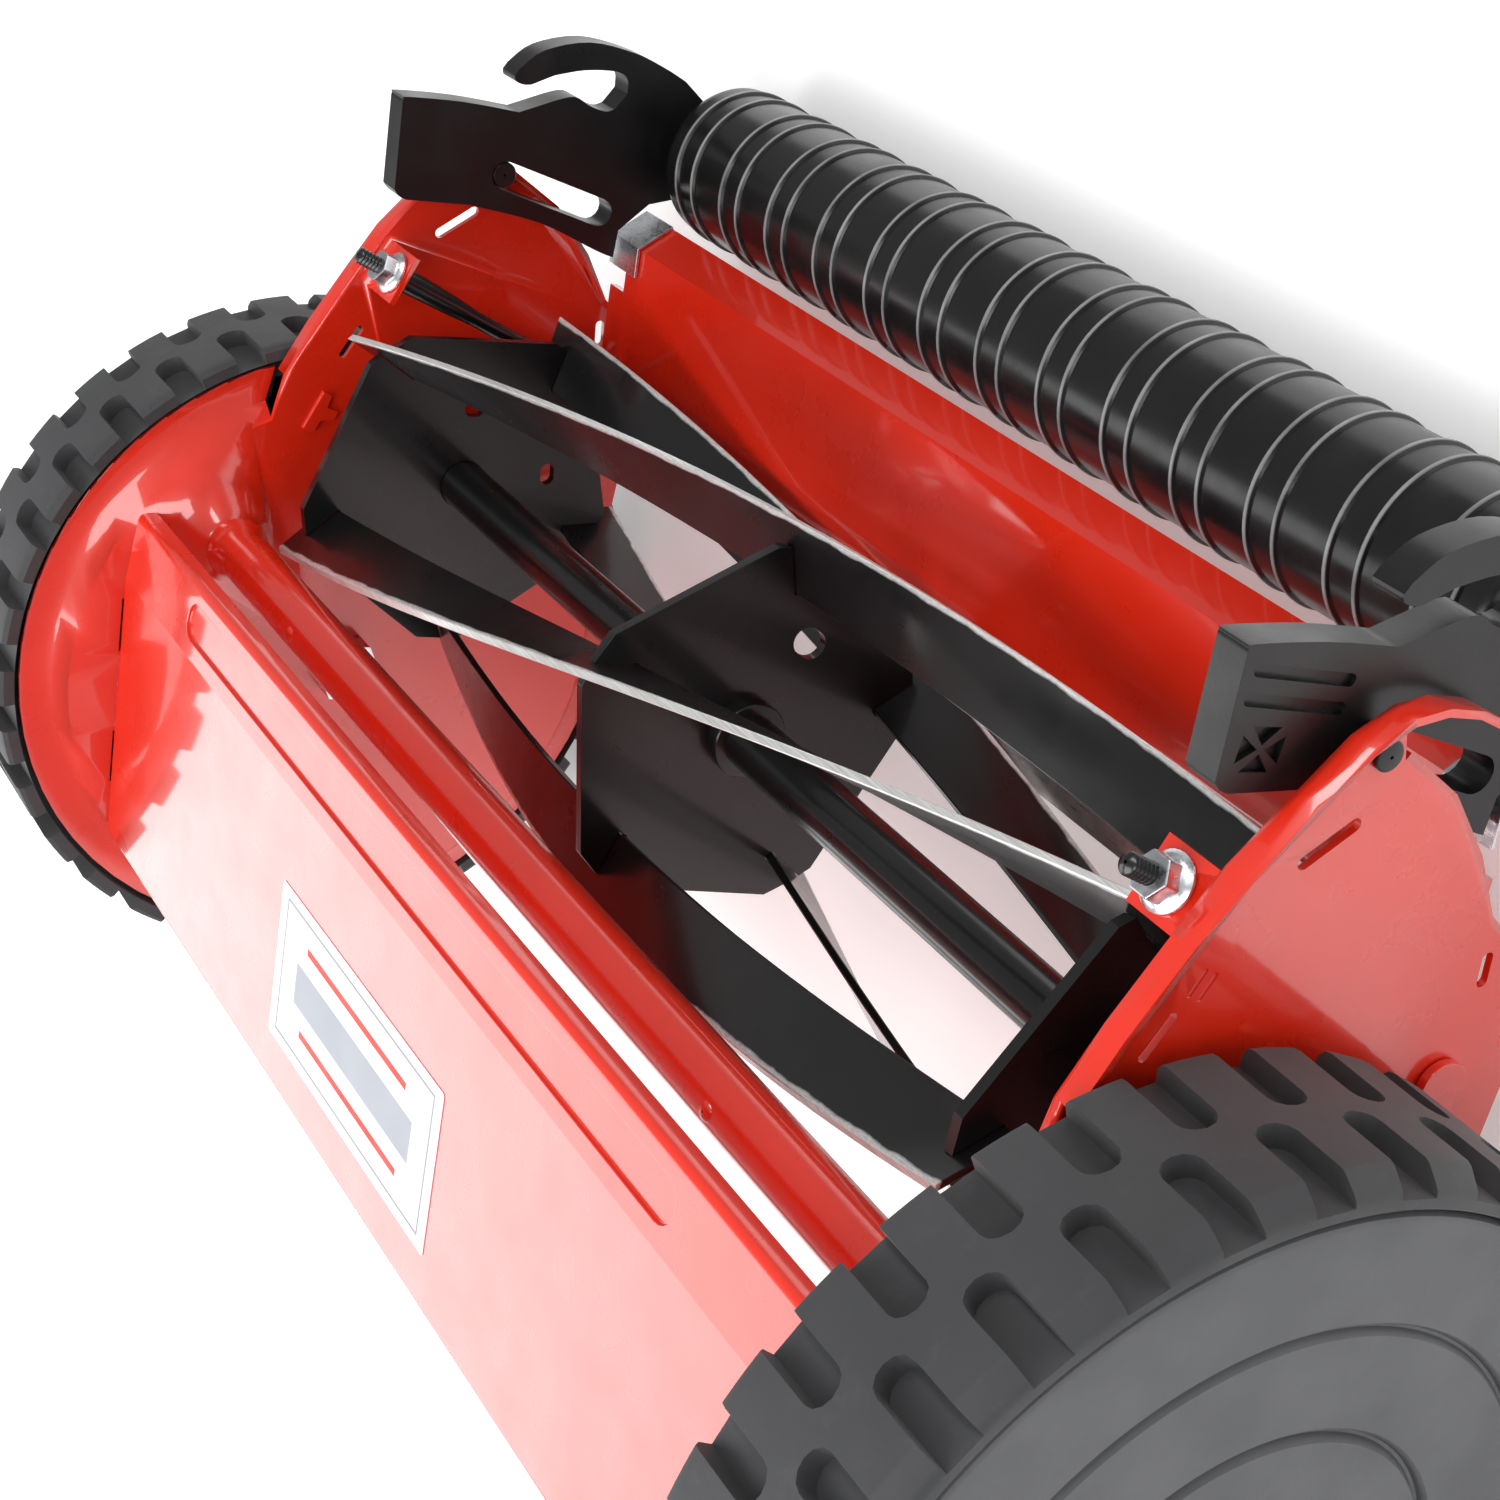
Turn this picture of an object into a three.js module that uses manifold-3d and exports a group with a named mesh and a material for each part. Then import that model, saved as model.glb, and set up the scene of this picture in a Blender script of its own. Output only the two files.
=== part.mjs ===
// A push reel mower without its handle: two pressed side plates joined by a front cover and a
// tie tube, a five-blade reel geared to both wheels, a bedknife on an adjustable carrier bar,
// and a rear roller on two brackets that slide to set the cutting height.
// Millimetres. X runs across the mower, -Y is the front, +Z is up, and the floor is at Z = 0.
// Side pieces are modelled for the +X side, as right_... , and mirrored for the -X side.
import * as THREE from "three";
import { mergeVertices } from "three/addons/utils/BufferGeometryUtils.js";
import Module from "manifold-3d";

const wasm = await Module();
wasm.setup();

// Driving dimensions
const plateSpacing = 416; // between the inner faces of the side plates
const sheet = 1.8; // side plate sheet
const wheelRadius = 111;
const treadWidth = 47;
const tyreDepth = 8.2; // from the hub to the tread
const reelRadius = 61;
const bladeReach = 190; // half the length of a blade
const bladeWidth = 21.5;
const bladeThickness = 2.2;
const bladeCount = 5;
const shaftRadius = 7.6;
const rollerRadius = 24.8;
const rollerReach = 189.7; // half the length of the roller
const tubeRadius = 8.2;
const coverSheet = 1.5;
const barSheet = 2.5;
const gearModule = 3;
const ringTeeth = 63;
const pinionTeeth = 12;

// Fits
const sliver = 0.02; // edges shorter than this are closed up
const seat = 0.3; // gap where two fixed pieces touch
const running = 0.35; // radial gap of a turning fit
const knifeGap = 1.1; // from the reel to the edge of the bedknife

// Heights and places in the side view, [y, z], measured from the wheel axle and the floor
const wheelAxis = [0, wheelRadius];
const reelAngle = THREE.MathUtils.degToRad(-12.8); // direction from the wheel axle to the reel
const reelOffset = ((ringTeeth - pinionTeeth) * gearModule) / 2;
const reelAxis = polar(wheelAxis, reelOffset, reelAngle);
const tubeAxis = [43.8, 159.5];
const rollerAxis = [187.7, rollerRadius];
const pivotAxis = [93, 44];
const leverHole = [108, 50]; // where an adjuster rod hooks into the carrier bar
const adjusterTop = [137.8, 129.8];
const heightStudAt = [170.9, 95.2];
const slotEnd = [163.4, 60]; // far end of the slot in a roller bracket
const rearmost = 214.9; // back of the bracket hooks, from the wheel axle
const frontToRear = wheelRadius + rearmost;
const axleY = wheelRadius - frontToRear / 2; // puts the origin below the middle of the mower

// Distances across the mower, from the middle to the +X side
const plateInner = plateSpacing / 2;
const plateOuter = plateInner + sheet;
const rimStep = 9; // the rim of a plate stands this far outboard of its web
const rimInnerX = plateInner + rimStep;
const tyreInner = plateInner + 7.6;
const tyreOuter = tyreInner + treadWidth;
const hubInner = rimInnerX + sheet + 3.5;
const hubOuter = tyreOuter - 0.6;
const gearWidth = 17;
const bossDepth = 12; // tie tube boss, inboard of the web
const bossFace = plateInner - bossDepth;
const flangeOuter = tyreInner - 1;
const lipWidth = 3.4; // lip round the cut-out of the arm, turned inboard
const bracketOuter = plateInner - lipWidth - 0.7;
const bracketWidth = 9;
const bracketInner = bracketOuter - bracketWidth;
const barReach = plateInner - 4.5;
const leverWidth = 3;
const rodX = plateInner - 12.2;

// Radii of round pieces
const rimOuter = wheelRadius - 7;
const rimInner = rimOuter - 10;
const hubRadius = wheelRadius - tyreDepth - seat;
const axleRadius = 6.3;
const journalRadius = 6.5; // ends of the reel shaft
const bearingRadius = 14;
const tieBoltRadius = 3;
const pivotRadius = 4;
const rodRadius = 2.6;
const studRadius = 3;
const rollerAxleRadius = 5;

const fine = 60; // facets of large round pieces
const coarse = 20; // facets of small round pieces
const arcSteps = 6; // facets of the arcs in a drawn outline

const material = (color, roughness, metalness) =>
  new THREE.MeshStandardMaterial({ color, roughness, metalness });
const redPaint = material(0xd8150c, 0.25, 0.1);
const blackPaint = material(0x0b0b0c, 0.3, 0.1);
const blackPlastic = material(0x1b1c1e, 0.55, 0);
const tyreRubber = material(0x2a2b2e, 0.8, 0);
const zinc = material(0xb9bdc2, 0.3, 1);
const bareSteel = material(0x8b8d90, 0.35, 1);

// Point at a distance and angle from a centre, in the side view
function polar([y, z], radius, angle) {
  return [y + radius * Math.cos(angle), z + radius * Math.sin(angle)];
}

function solid(geometry) {
  const bare = geometry.clone();
  bare.deleteAttribute("normal");
  bare.deleteAttribute("uv");
  const merged = mergeVertices(bare, 1e-4);
  return new wasm.Manifold(
    new wasm.Mesh({
      numProp: 3,
      vertProperties: merged.attributes.position.array,
      triVerts: new Uint32Array(merged.index.array),
    }),
  );
}

function geometryOf(body) {
  const made = body.simplify(sliver).getMesh();
  const geometry = new THREE.BufferGeometry();
  geometry.setAttribute("position", new THREE.BufferAttribute(made.vertProperties, 3));
  geometry.setIndex(new THREE.BufferAttribute(made.triVerts, 1));
  return geometry.toNonIndexed();
}

const join = (first, ...others) => others.reduce((body, other) => body.add(other), first);
const cut = (first, ...others) => others.reduce((body, other) => body.subtract(other), first);

// Outline drawn in the side view and extruded across the mower from one distance to another
function plate(shape, from, to, steps = 1) {
  const geometry = new THREE.ExtrudeGeometry(shape, {
    depth: to - from,
    steps,
    bevelEnabled: false,
    curveSegments: arcSteps,
  });
  const sideways = new THREE.Matrix4().makeBasis(
    new THREE.Vector3(0, 1, 0),
    new THREE.Vector3(0, 0, 1),
    new THREE.Vector3(1, 0, 0),
  );
  return geometry.applyMatrix4(sideways).translate(from, 0, 0);
}

const outline = (points) => new THREE.Shape(points.map(([y, z]) => new THREE.Vector2(y, z)));
const slab = (points, from, to) => solid(plate(outline(points), from, to));

// Solid of revolution about an axis across the mower; the profile is [radius, x] points
function turned([y, z], profile, facets = coarse) {
  const points = profile.map(([radius, x]) => new THREE.Vector2(radius, x));
  const geometry = new THREE.LatheGeometry(points, facets);
  return solid(geometry.rotateZ(-Math.PI / 2).translate(0, y, z));
}

const ring = (axis, inner, outer, from, to, facets = coarse) =>
  turned(axis, [[inner, from], [outer, from], [outer, to], [inner, to], [inner, from]], facets);
const disc = (axis, radius, from, to, facets = coarse) =>
  turned(axis, [[0, from], [radius, from], [radius, to], [0, to]], facets);

// A line of sheet metal: points along one face, and the sheet's thickness to its right
function sheetShape(points, thickness) {
  const at = points.map(([y, z]) => new THREE.Vector2(y, z));
  const back = at.map((point, i) => {
    const before = at[i].clone().sub(at[Math.max(i - 1, 0)]).normalize();
    const after = at[Math.min(i + 1, at.length - 1)].clone().sub(at[i]).normalize();
    const along = before.clone().add(after).normalize();
    const edge = before.lengthSq() ? before : after;
    const reach = thickness / along.dot(edge);
    return point.clone().add(new THREE.Vector2(along.y, -along.x).multiplyScalar(reach));
  });
  return new THREE.Shape([...at, ...back.reverse()]);
}
const folded = (points, thickness, from, to) =>
  solid(plate(sheetShape(points, thickness), from, to));

// Rounded slot between two centres
function slotShape([y0, z0], [y1, z1], radius) {
  const angle = Math.atan2(z1 - z0, y1 - y0);
  const shape = new THREE.Shape();
  shape.absarc(y1, z1, radius, angle - Math.PI / 2, angle + Math.PI / 2);
  shape.absarc(y0, z0, radius, angle + Math.PI / 2, angle + (3 * Math.PI) / 2);
  return shape;
}
const slot = (start, end, radius, from, to) => solid(plate(slotShape(start, end, radius), from, to));

// Round bar between two points of the side view, at one distance across the mower
function rod(start, end, radius, x, facets = coarse) {
  const length = Math.hypot(end[0] - start[0], end[1] - start[1]);
  const geometry = new THREE.CylinderGeometry(radius, radius, length, facets);
  geometry.rotateX(Math.atan2(end[1] - start[1], end[0] - start[0]));
  return solid(geometry.translate(x, (start[0] + end[0]) / 2, (start[1] + end[1]) / 2));
}

// Bolt head or nut: a hexagon on an axis across the mower
const hexagon = (axis, across, from, to) => disc(axis, across / Math.sqrt(3), from, to, 6);

const mower = new THREE.Group();
mower.position.y = axleY;
const rightSide = new THREE.Group();
const leftSide = new THREE.Group();
leftSide.scale.x = -1;
mower.add(rightSide, leftSide);

function add(name, body, finish) {
  const mesh = new THREE.Mesh(geometryOf(body), finish);
  mesh.name = name;
  mower.add(mesh);
}

function addPair(name, body, finish) {
  const geometry = geometryOf(body);
  for (const [side, group] of [["right", rightSide], ["left", leftSide]]) {
    const mesh = new THREE.Mesh(geometry, finish);
    mesh.name = `${side}_${name}`;
    group.add(mesh);
  }
}

// Front cover section, from its lip over the front fold to the rear edge
const coverSection = [
  [-74, 165],
  [-62, 181],
  [27, 189],
  [49, 188],
  [49.4, 182.3],
];
const coverTabs = [
  [[-44, 182.6], [-26, 184.2]],
  [[2, 186.8], [20, 188.4]],
];

// Side plate: a dished disc round the wheel and an arm that reaches back to the roller
function sidePlate() {
  const dish = turned(
    wheelAxis,
    [
      [0, plateInner],
      [rimInner - 3, plateInner],
      [rimInner, rimInnerX],
      [rimOuter, rimInnerX],
      [rimOuter, rimInnerX + sheet],
      [rimInner - 1.2, rimInnerX + sheet],
      [rimInner - 4.2, plateOuter],
      [0, plateOuter],
    ],
    fine,
  );
  const topEdge = [
    polar(wheelAxis, rimOuter, THREE.MathUtils.degToRad(21.2)),
    [113, 142],
    [132, 132.5],
    [146.5, 125],
    [162, 113.5],
    [174, 104.5],
    [180.5, 96],
    [182.8, 87.5],
    [182.4, 78],
    [178.7, 66],
  ];
  const cutout = [
    [179, 93],
    [169.8, 89.3],
    [159.9, 70.5],
    [146.1, 56.4],
    [131.8, 46.2],
    [126.8, 39.1],
  ];
  const bottomZ = 22.5;
  const armWeb = [
    ...topEdge.slice(0, 8),
    ...cutout,
    [118, bottomZ],
    [55, bottomZ],
    [46, 42],
    [66, 152],
  ];
  const clearOfRim = slab(armWeb, plateOuter, rimInnerX + 2 * sheet);
  const web = slab(armWeb, plateInner, plateOuter);
  const flange = folded(topEdge, sheet, plateInner, flangeOuter);
  const lipLine = [[168.9, 87.6], ...cutout.slice(2)];
  const lip = folded(lipLine, -sheet, plateInner - lipWidth, plateInner + 0.5);
  const bossOuter = turned(tubeAxis, [
    [0, bossFace],
    [12, bossFace],
    [17, plateOuter],
    [0, plateOuter],
  ]);
  const bossInner = turned(tubeAxis, [
    [0, bossFace + sheet],
    [10.6, bossFace + sheet],
    [15.6, plateOuter + 1],
    [0, plateOuter + 1],
  ]);
  const along = unit(leverHole, adjusterTop);
  const lugEnd = adjusterTop.map((value, i) => value - along[i] * 5);
  const lugAcross = [-along[1], along[0]];
  const lug = slab(
    [
      offset(lugEnd, lugAcross, 8),
      offset(lugEnd, lugAcross, -8),
      offset(offset(lugEnd, along, -sheet), lugAcross, -8),
      offset(offset(lugEnd, along, -sheet), lugAcross, 8),
    ],
    rodX - 7,
    plateInner + 0.5,
  );
  const holes = [
    disc(wheelAxis, axleRadius + seat, plateInner - 1, plateOuter + 1),
    disc(reelAxis, bearingRadius + seat, plateInner - 1, plateOuter + 1),
    disc(tubeAxis, tieBoltRadius + seat, bossFace - 1, plateOuter + 1),
    disc(pivotAxis, pivotRadius + seat, plateInner - 1, plateOuter + 1),
    disc(heightStudAt, studRadius + seat, plateInner - 1, plateOuter + 1),
    rod(leverHole, offset(adjusterTop, along, 5), rodRadius + running, rodX),
    slot([147.5, 106.5], [155.5, 96.5], 1.6, plateInner - 1, plateOuter + 1),
    slot([118, 42], [123.5, 43], 1.5, plateInner - 1, plateOuter + 1),
    slot([105.5, 131], [114, 127], 1.2, plateInner - 1, plateOuter + 1),
    ...coverTabs.map(([start, end]) =>
      solid(
        plate(
          sheetShape([offset(start, [0, 1], seat), offset(end, [0, 1], seat)], coverSheet + 2 * seat),
          plateInner - 1,
          plateOuter + 1,
        ),
      ),
    ),
  ];
  const pressed = cut(join(cut(dish, clearOfRim), web, flange, lip, bossOuter, lug), bossInner);
  return cut(pressed, ...holes);
}

function unit(from, to) {
  const length = Math.hypot(to[0] - from[0], to[1] - from[1]);
  return [(to[0] - from[0]) / length, (to[1] - from[1]) / length];
}

function offset([y, z], [dy, dz], distance) {
  return [y + dy * distance, z + dz * distance];
}

addPair("side_plate", sidePlate(), redPaint);

// Front cover, with tabs through slots in the side plates
const tabInset = 0.5; // a tab's slot is this much longer than the tab at each end
const tabs = [-1, 1].flatMap((side) =>
  coverTabs.map(([start, end]) => {
    const along = unit(start, end);
    const tab = [offset(start, along, tabInset), offset(end, along, -tabInset)];
    const from = side > 0 ? plateInner - 4 : -plateOuter - 1.2;
    return folded(tab, coverSheet, from, from + 4 + sheet + 1.2);
  }),
);
add(
  "front_cover",
  join(folded(coverSection, coverSheet, seat - plateInner, plateInner - seat), ...tabs),
  redPaint,
);

// Tie tube between the bosses of the side plates, and the bolts in its ends
const tubeEnd = bossFace - seat;
const tubeBore = tieBoltRadius + seat;
add(
  "tie_tube",
  turned(tubeAxis, [
    [tubeBore, -tubeEnd],
    [tubeRadius, -tubeEnd],
    [tubeRadius, tubeEnd],
    [tubeBore, tubeEnd],
    [tubeBore, tubeEnd - 26],
    [tubeRadius - sheet, tubeEnd - 28],
    [tubeRadius - sheet, 28 - tubeEnd],
    [tubeBore, 26 - tubeEnd],
    [tubeBore, -tubeEnd],
  ]),
  redPaint,
);
const tieHeadX = bossFace + sheet + seat;
addPair(
  "tie_bolt",
  join(
    disc(tubeAxis, tieBoltRadius, tubeEnd - 22, tieHeadX + 1),
    hexagon(tubeAxis, 10, tieHeadX, tieHeadX + 4),
  ),
  zinc,
);

// Wheel axle: a shouldered stud through the plate's web, held inboard by a nut
const studFlange = plateOuter + seat;
addPair(
  "axle_stud",
  turned(wheelAxis, [
    [0, plateInner - 13],
    [axleRadius, plateInner - 13],
    [axleRadius, studFlange],
    [axleRadius + 6, studFlange],
    [axleRadius + 6, studFlange + 3],
    [axleRadius + 2, studFlange + 3],
    [axleRadius + 2, hubOuter - 6],
    [0, hubOuter - 6],
  ]),
  zinc,
);
addPair(
  "axle_nut",
  cut(
    hexagon(wheelAxis, 19, plateInner - 9, plateInner - seat),
    disc(wheelAxis, axleRadius + seat, plateInner - 12, plateInner + 1),
  ),
  zinc,
);

// Wheel hub with its internal ring gear, tyre and centre cap
function toothed(teeth, tipRadius, rootRadius, halfTip, halfRoot, centreAngle) {
  const points = [];
  for (let i = 0; i < teeth; i += 1) {
    const middle = centreAngle + (i * 2 * Math.PI) / teeth;
    points.push(polar([0, 0], rootRadius, middle - halfRoot));
    points.push(polar([0, 0], tipRadius, middle - halfTip));
    points.push(polar([0, 0], tipRadius, middle + halfTip));
    points.push(polar([0, 0], rootRadius, middle + halfRoot));
  }
  return points;
}
const pitchRing = (gearModule * ringTeeth) / 2;
const pitchPinion = (gearModule * pinionTeeth) / 2;
const ringStep = (2 * Math.PI) / ringTeeth;
const pinionStep = (2 * Math.PI) / pinionTeeth;
const ringHole = toothed(
  ringTeeth,
  pitchRing - 0.75 * gearModule,
  pitchRing + 1.2 * gearModule,
  ringStep * 0.16,
  ringStep * 0.3,
  reelAngle + ringStep / 2,
);
const capRadius = 51.3;
const capDepth = 3;
const hubWall = 5;
const hubBody = turned(
  wheelAxis,
  [
    [0, hubInner],
    [hubRadius, hubInner],
    [hubRadius, hubOuter],
    [0, hubOuter],
  ],
  fine,
);
const hubCavity = disc(
  wheelAxis,
  hubRadius - hubWall,
  hubInner + gearWidth - 0.5,
  hubOuter - hubWall - capDepth,
  fine,
);
const hubPost = ring(wheelAxis, axleRadius + 1, axleRadius + 8, hubInner + 2, hubOuter - hubWall);
const hubBore = disc(wheelAxis, axleRadius + 2 + running, hubInner - 1, hubOuter - 4, coarse);
const capSeat = disc(wheelAxis, capRadius + seat, hubOuter - capDepth - seat, hubOuter + 1, fine);
const gearHole = solid(
  plate(outline(ringHole), hubInner - 1, hubInner + gearWidth).translate(0, ...wheelAxis),
);
const hub = cut(join(cut(hubBody, gearHole, hubCavity), hubPost), hubBore, capSeat);
addPair("wheel_hub", hub, blackPlastic);
addPair(
  "wheel_cap",
  turned(
    wheelAxis,
    [
      [0, hubOuter - capDepth],
      [capRadius, hubOuter - capDepth],
      [capRadius, hubOuter - 0.6],
      [capRadius - 0.6, hubOuter],
      [0, hubOuter],
    ],
    fine,
  ),
  blackPlastic,
);
const tyreBore = hubRadius + seat;
const tyreShoulder = 2;
addPair(
  "tyre",
  turned(
    wheelAxis,
    [
      [rimOuter + 1.6, tyreInner],
      [wheelRadius - tyreShoulder, tyreInner],
      [wheelRadius, tyreInner + tyreShoulder],
      [wheelRadius, tyreOuter - tyreShoulder],
      [wheelRadius - tyreShoulder, tyreOuter],
      [tyreBore, tyreOuter],
      [tyreBore, hubInner - seat],
      [rimOuter + 1.6, hubInner - seat],
      [rimOuter + 1.6, tyreInner],
    ],
    fine,
  ),
  tyreRubber,
);

// Reel shaft, with a cross hole at each end for the pawl that drives the pinion
const shaftShoulder = plateInner - 6;
const pinionInner = hubInner + 1.5;
const pinionOuter = pinionInner + 13;
const shaftEnd = pinionOuter + 3;
const pawlX = (pinionInner + pinionOuter) / 2 + 1.5;
const pawlSize = 4;
const pawlLength = 20.4;
const pawlHole = [-1, 1].map((side) =>
  solid(
    new THREE.BoxGeometry(pawlSize + 2 * seat, pawlSize + 2 * seat, 3 * journalRadius)
      .translate(side * pawlX, ...reelAxis),
  ),
);
const reelShaft = turned(reelAxis, [
  [0, -shaftEnd],
  [journalRadius, -shaftEnd],
  [journalRadius, -shaftShoulder],
  [shaftRadius, -shaftShoulder],
  [shaftRadius, shaftShoulder],
  [journalRadius, shaftShoulder],
  [journalRadius, shaftEnd],
  [0, shaftEnd],
]);
add("reel_shaft", cut(reelShaft, ...pawlHole), blackPaint);
addPair(
  "pawl",
  solid(new THREE.BoxGeometry(pawlSize, pawlSize, pawlLength).translate(pawlX, ...reelAxis)),
  bareSteel,
);
addPair(
  "bearing",
  turned(reelAxis, [
    [journalRadius + running, plateInner - 4],
    [bearingRadius, plateInner - 4],
    [bearingRadius, plateOuter + seat],
    [bearingRadius + 4, plateOuter + seat],
    [bearingRadius + 4, plateOuter + 3.3],
    [journalRadius + running, plateOuter + 3.3],
    [journalRadius + running, plateInner - 4],
  ]),
  blackPlastic,
);

// Pinion, hollow outboard of its bore: the pawl catches in the ratchet teeth of the hollow
const pinionShape = toothed(
  pinionTeeth,
  pitchPinion + 0.85 * gearModule,
  pitchPinion - 1.1 * gearModule,
  pinionStep * 0.1,
  pinionStep * 0.29,
  reelAngle,
);
const ratchetTeeth = 6;
const ratchet = [];
for (let i = 0; i < ratchetTeeth; i += 1) {
  const start = Math.PI / 2 - 0.12 + (i * 2 * Math.PI) / ratchetTeeth;
  ratchet.push(polar([0, 0], 12.9, start));
  ratchet.push(polar([0, 0], 12.9, start + 0.3));
  ratchet.push(polar([0, 0], 11.2, start + 0.95));
}
const pinion = cut(
  solid(plate(outline(pinionShape), pinionInner, pinionOuter).translate(0, ...reelAxis)),
  disc(reelAxis, journalRadius + seat, pinionInner - 1, pinionOuter),
  solid(
    plate(outline(ratchet), pawlX - pawlSize / 2 - 0.6, pinionOuter + 1).translate(0, ...reelAxis),
  ),
);
addPair("pinion", pinion, bareSteel);

// Reel blades: flat strips set back from the radius and twisted along the shaft
const bladeTwist = THREE.MathUtils.degToRad(-0.2373); // per millimetre along the shaft
const firstBlade = THREE.MathUtils.degToRad(2.2);
const bladeStep = (2 * Math.PI) / bladeCount;
const bladeAngle = (x, i) => firstBlade + i * bladeStep + bladeTwist * x;
const bladeRake = THREE.MathUtils.degToRad(17); // between the strip and the radius through its edge
function bladeSection(clearance) {
  const inward = [-Math.cos(bladeRake), -Math.sin(bladeRake)];
  const back = [Math.sin(bladeRake), -Math.cos(bladeRake)];
  const edge = offset([reelRadius, 0], back, -clearance);
  const tip = clearance ? offset(edge, inward, -6) : edge;
  const root = offset(edge, inward, bladeWidth + clearance);
  const thick = bladeThickness + 2 * clearance;
  const backTip = clearance
    ? offset(tip, back, thick)
    : polar([0, 0], reelRadius, -bladeThickness / Math.cos(bladeRake) / reelRadius);
  return [tip, root, offset(root, back, thick), backTip];
}
const bladePitch = bladeReach / 16; // length of one step of the twist
function blade(i, clearance, reach) {
  const steps = Math.round((2 * reach) / bladePitch);
  const geometry = plate(outline(bladeSection(clearance)), -reach, reach, steps);
  const position = geometry.attributes.position;
  for (let v = 0; v < position.count; v += 1) {
    const angle = bladeAngle(position.getX(v), i);
    const y = position.getY(v);
    const z = position.getZ(v);
    position.setY(v, reelAxis[0] + y * Math.cos(angle) - z * Math.sin(angle));
    position.setZ(v, reelAxis[1] + y * Math.sin(angle) + z * Math.cos(angle));
  }
  return solid(geometry);
}
const bladeSlots = Array.from({ length: bladeCount }, (_, i) => blade(i, seat, bladeReach + bladePitch));
for (let i = 0; i < bladeCount; i += 1) {
  add(`blade_${i + 1}`, blade(i, 0, bladeReach), blackPaint);
}

// Spiders: pinwheel plates that carry the blades on the shaft
const spiderSheet = 3;
const spiderRadius = reelRadius - 7.5;
const endSpiderX = bladeReach - 7;
function spider(x, holes) {
  const points = [];
  for (let i = 0; i < bladeCount; i += 1) {
    const angle = bladeAngle(x, i);
    points.push(polar(reelAxis, spiderRadius, angle - 0.26));
    points.push(polar(reelAxis, spiderRadius, angle - 0.09));
    points.push(polar(reelAxis, spiderRadius, angle + 0.03));
  }
  const windows = holes.map(([distance, turn, width]) => {
    const at = (shift) => polar(reelAxis, distance, bladeAngle(x, 0) + turn + shift);
    return slot(at(-0.04), at(0.04), width, x - spiderSheet, x + spiderSheet);
  });
  return cut(
    slab(points, x - spiderSheet / 2, x + spiderSheet / 2),
    disc(reelAxis, shaftRadius + seat, x - spiderSheet, x + spiderSheet),
    ...bladeSlots,
    ...windows,
  );
}
// Holes of a spider: distance from the shaft, turn from the first blade and half width
const middleHoles = [[30, -0.51, 4]];
const endHoles = [
  [25, -0.735, 2.4],
  [29.5, -2.19, 2.4],
];
add("middle_spider", spider(0, middleHoles), blackPaint);
add("right_spider", spider(endSpiderX, endHoles), blackPaint);
add("left_spider", spider(-endSpiderX, endHoles), blackPaint);

// Bedknife carrier bar: a folded channel with a lever at each end, turning on two pivots
const edgeDrop = Math.asin(7 / (reelRadius + knifeGap));
const knifeEdge = polar(reelAxis, reelRadius + knifeGap, edgeDrop - Math.PI / 2);
const knifeSlope = 0.02;
const knifeLength = 26;
const knifeThickness = 3;
const knifeAlong = [Math.cos(knifeSlope), Math.sin(knifeSlope)];
const knifeUp = [-knifeAlong[1], knifeAlong[0]];
const barLift = seat + barSheet;
const barSection = [
  [163, 37],
  [155, 47],
  [118, 43],
  offset(offset(knifeEdge, knifeAlong, 24.5), knifeUp, barLift),
  offset(offset(knifeEdge, knifeAlong, 17.5), knifeUp, barLift),
];
const leverOutline = [
  [84, 36],
  [96, 32.5],
  [112, 39],
  [119, 46],
  [114, 57],
  [104, 57],
  [86, 52],
  [82, 44],
];
const levers = [-1, 1].map((side) => {
  const from = side > 0 ? barReach - leverWidth : -barReach;
  return slab(leverOutline, from, from + leverWidth);
});
const barNotches = [-1, 1].map((side) =>
  solid(
    new THREE.BoxGeometry(20, 40, 40).translate(side * (bracketInner - 0.6 + 10), 139 + 20, 40),
  ),
);
const barHoles = [-1, 1].flatMap((side) => {
  const from = side > 0 ? barReach - 2 * leverWidth : -barReach - leverWidth;
  const to = from + 3 * leverWidth;
  return [
    disc(pivotAxis, pivotRadius + running, from, to),
    disc(leverHole, rodRadius + 0.8, from, to),
  ];
});
add(
  "bedknife_bar",
  cut(
    join(folded(barSection, -barSheet, -barReach, barReach), ...levers),
    ...barNotches,
    ...barHoles,
  ),
  redPaint,
);
add(
  "bedknife",
  slab(
    [
      knifeEdge,
      offset(knifeEdge, knifeAlong, knifeLength),
      offset(offset(knifeEdge, knifeAlong, knifeLength), knifeUp, -knifeThickness),
      offset(offset(knifeEdge, knifeAlong, knifeThickness), knifeUp, -knifeThickness),
    ],
    -bladeReach - 4,
    bladeReach + 4,
  ),
  bareSteel,
);

// Zinc end clips: a strip over the bar's rear fold that reaches out beside the plate
const clipSheet = 1;
const clipLift = seat + clipSheet;
const clipOver = [
  [164.1, 37.9],
  offset([155, 47], unit([0, 0], [0.35, 0.94]), clipLift * 1.25),
  [146, 46.1 + clipLift],
];
addPair(
  "bar_clip",
  folded(clipOver, -clipSheet, bracketInner - 9, bracketOuter),
  zinc,
);
addPair(
  "bar_pivot",
  join(
    disc(pivotAxis, pivotRadius, barReach - leverWidth - 2, plateOuter + 2),
    disc(pivotAxis, pivotRadius + 2.5, plateOuter + seat, plateOuter + 2.6),
    disc(pivotAxis, pivotRadius + 2.5, barReach - leverWidth - 2.6, barReach - leverWidth - seat),
  ),
  zinc,
);

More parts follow.
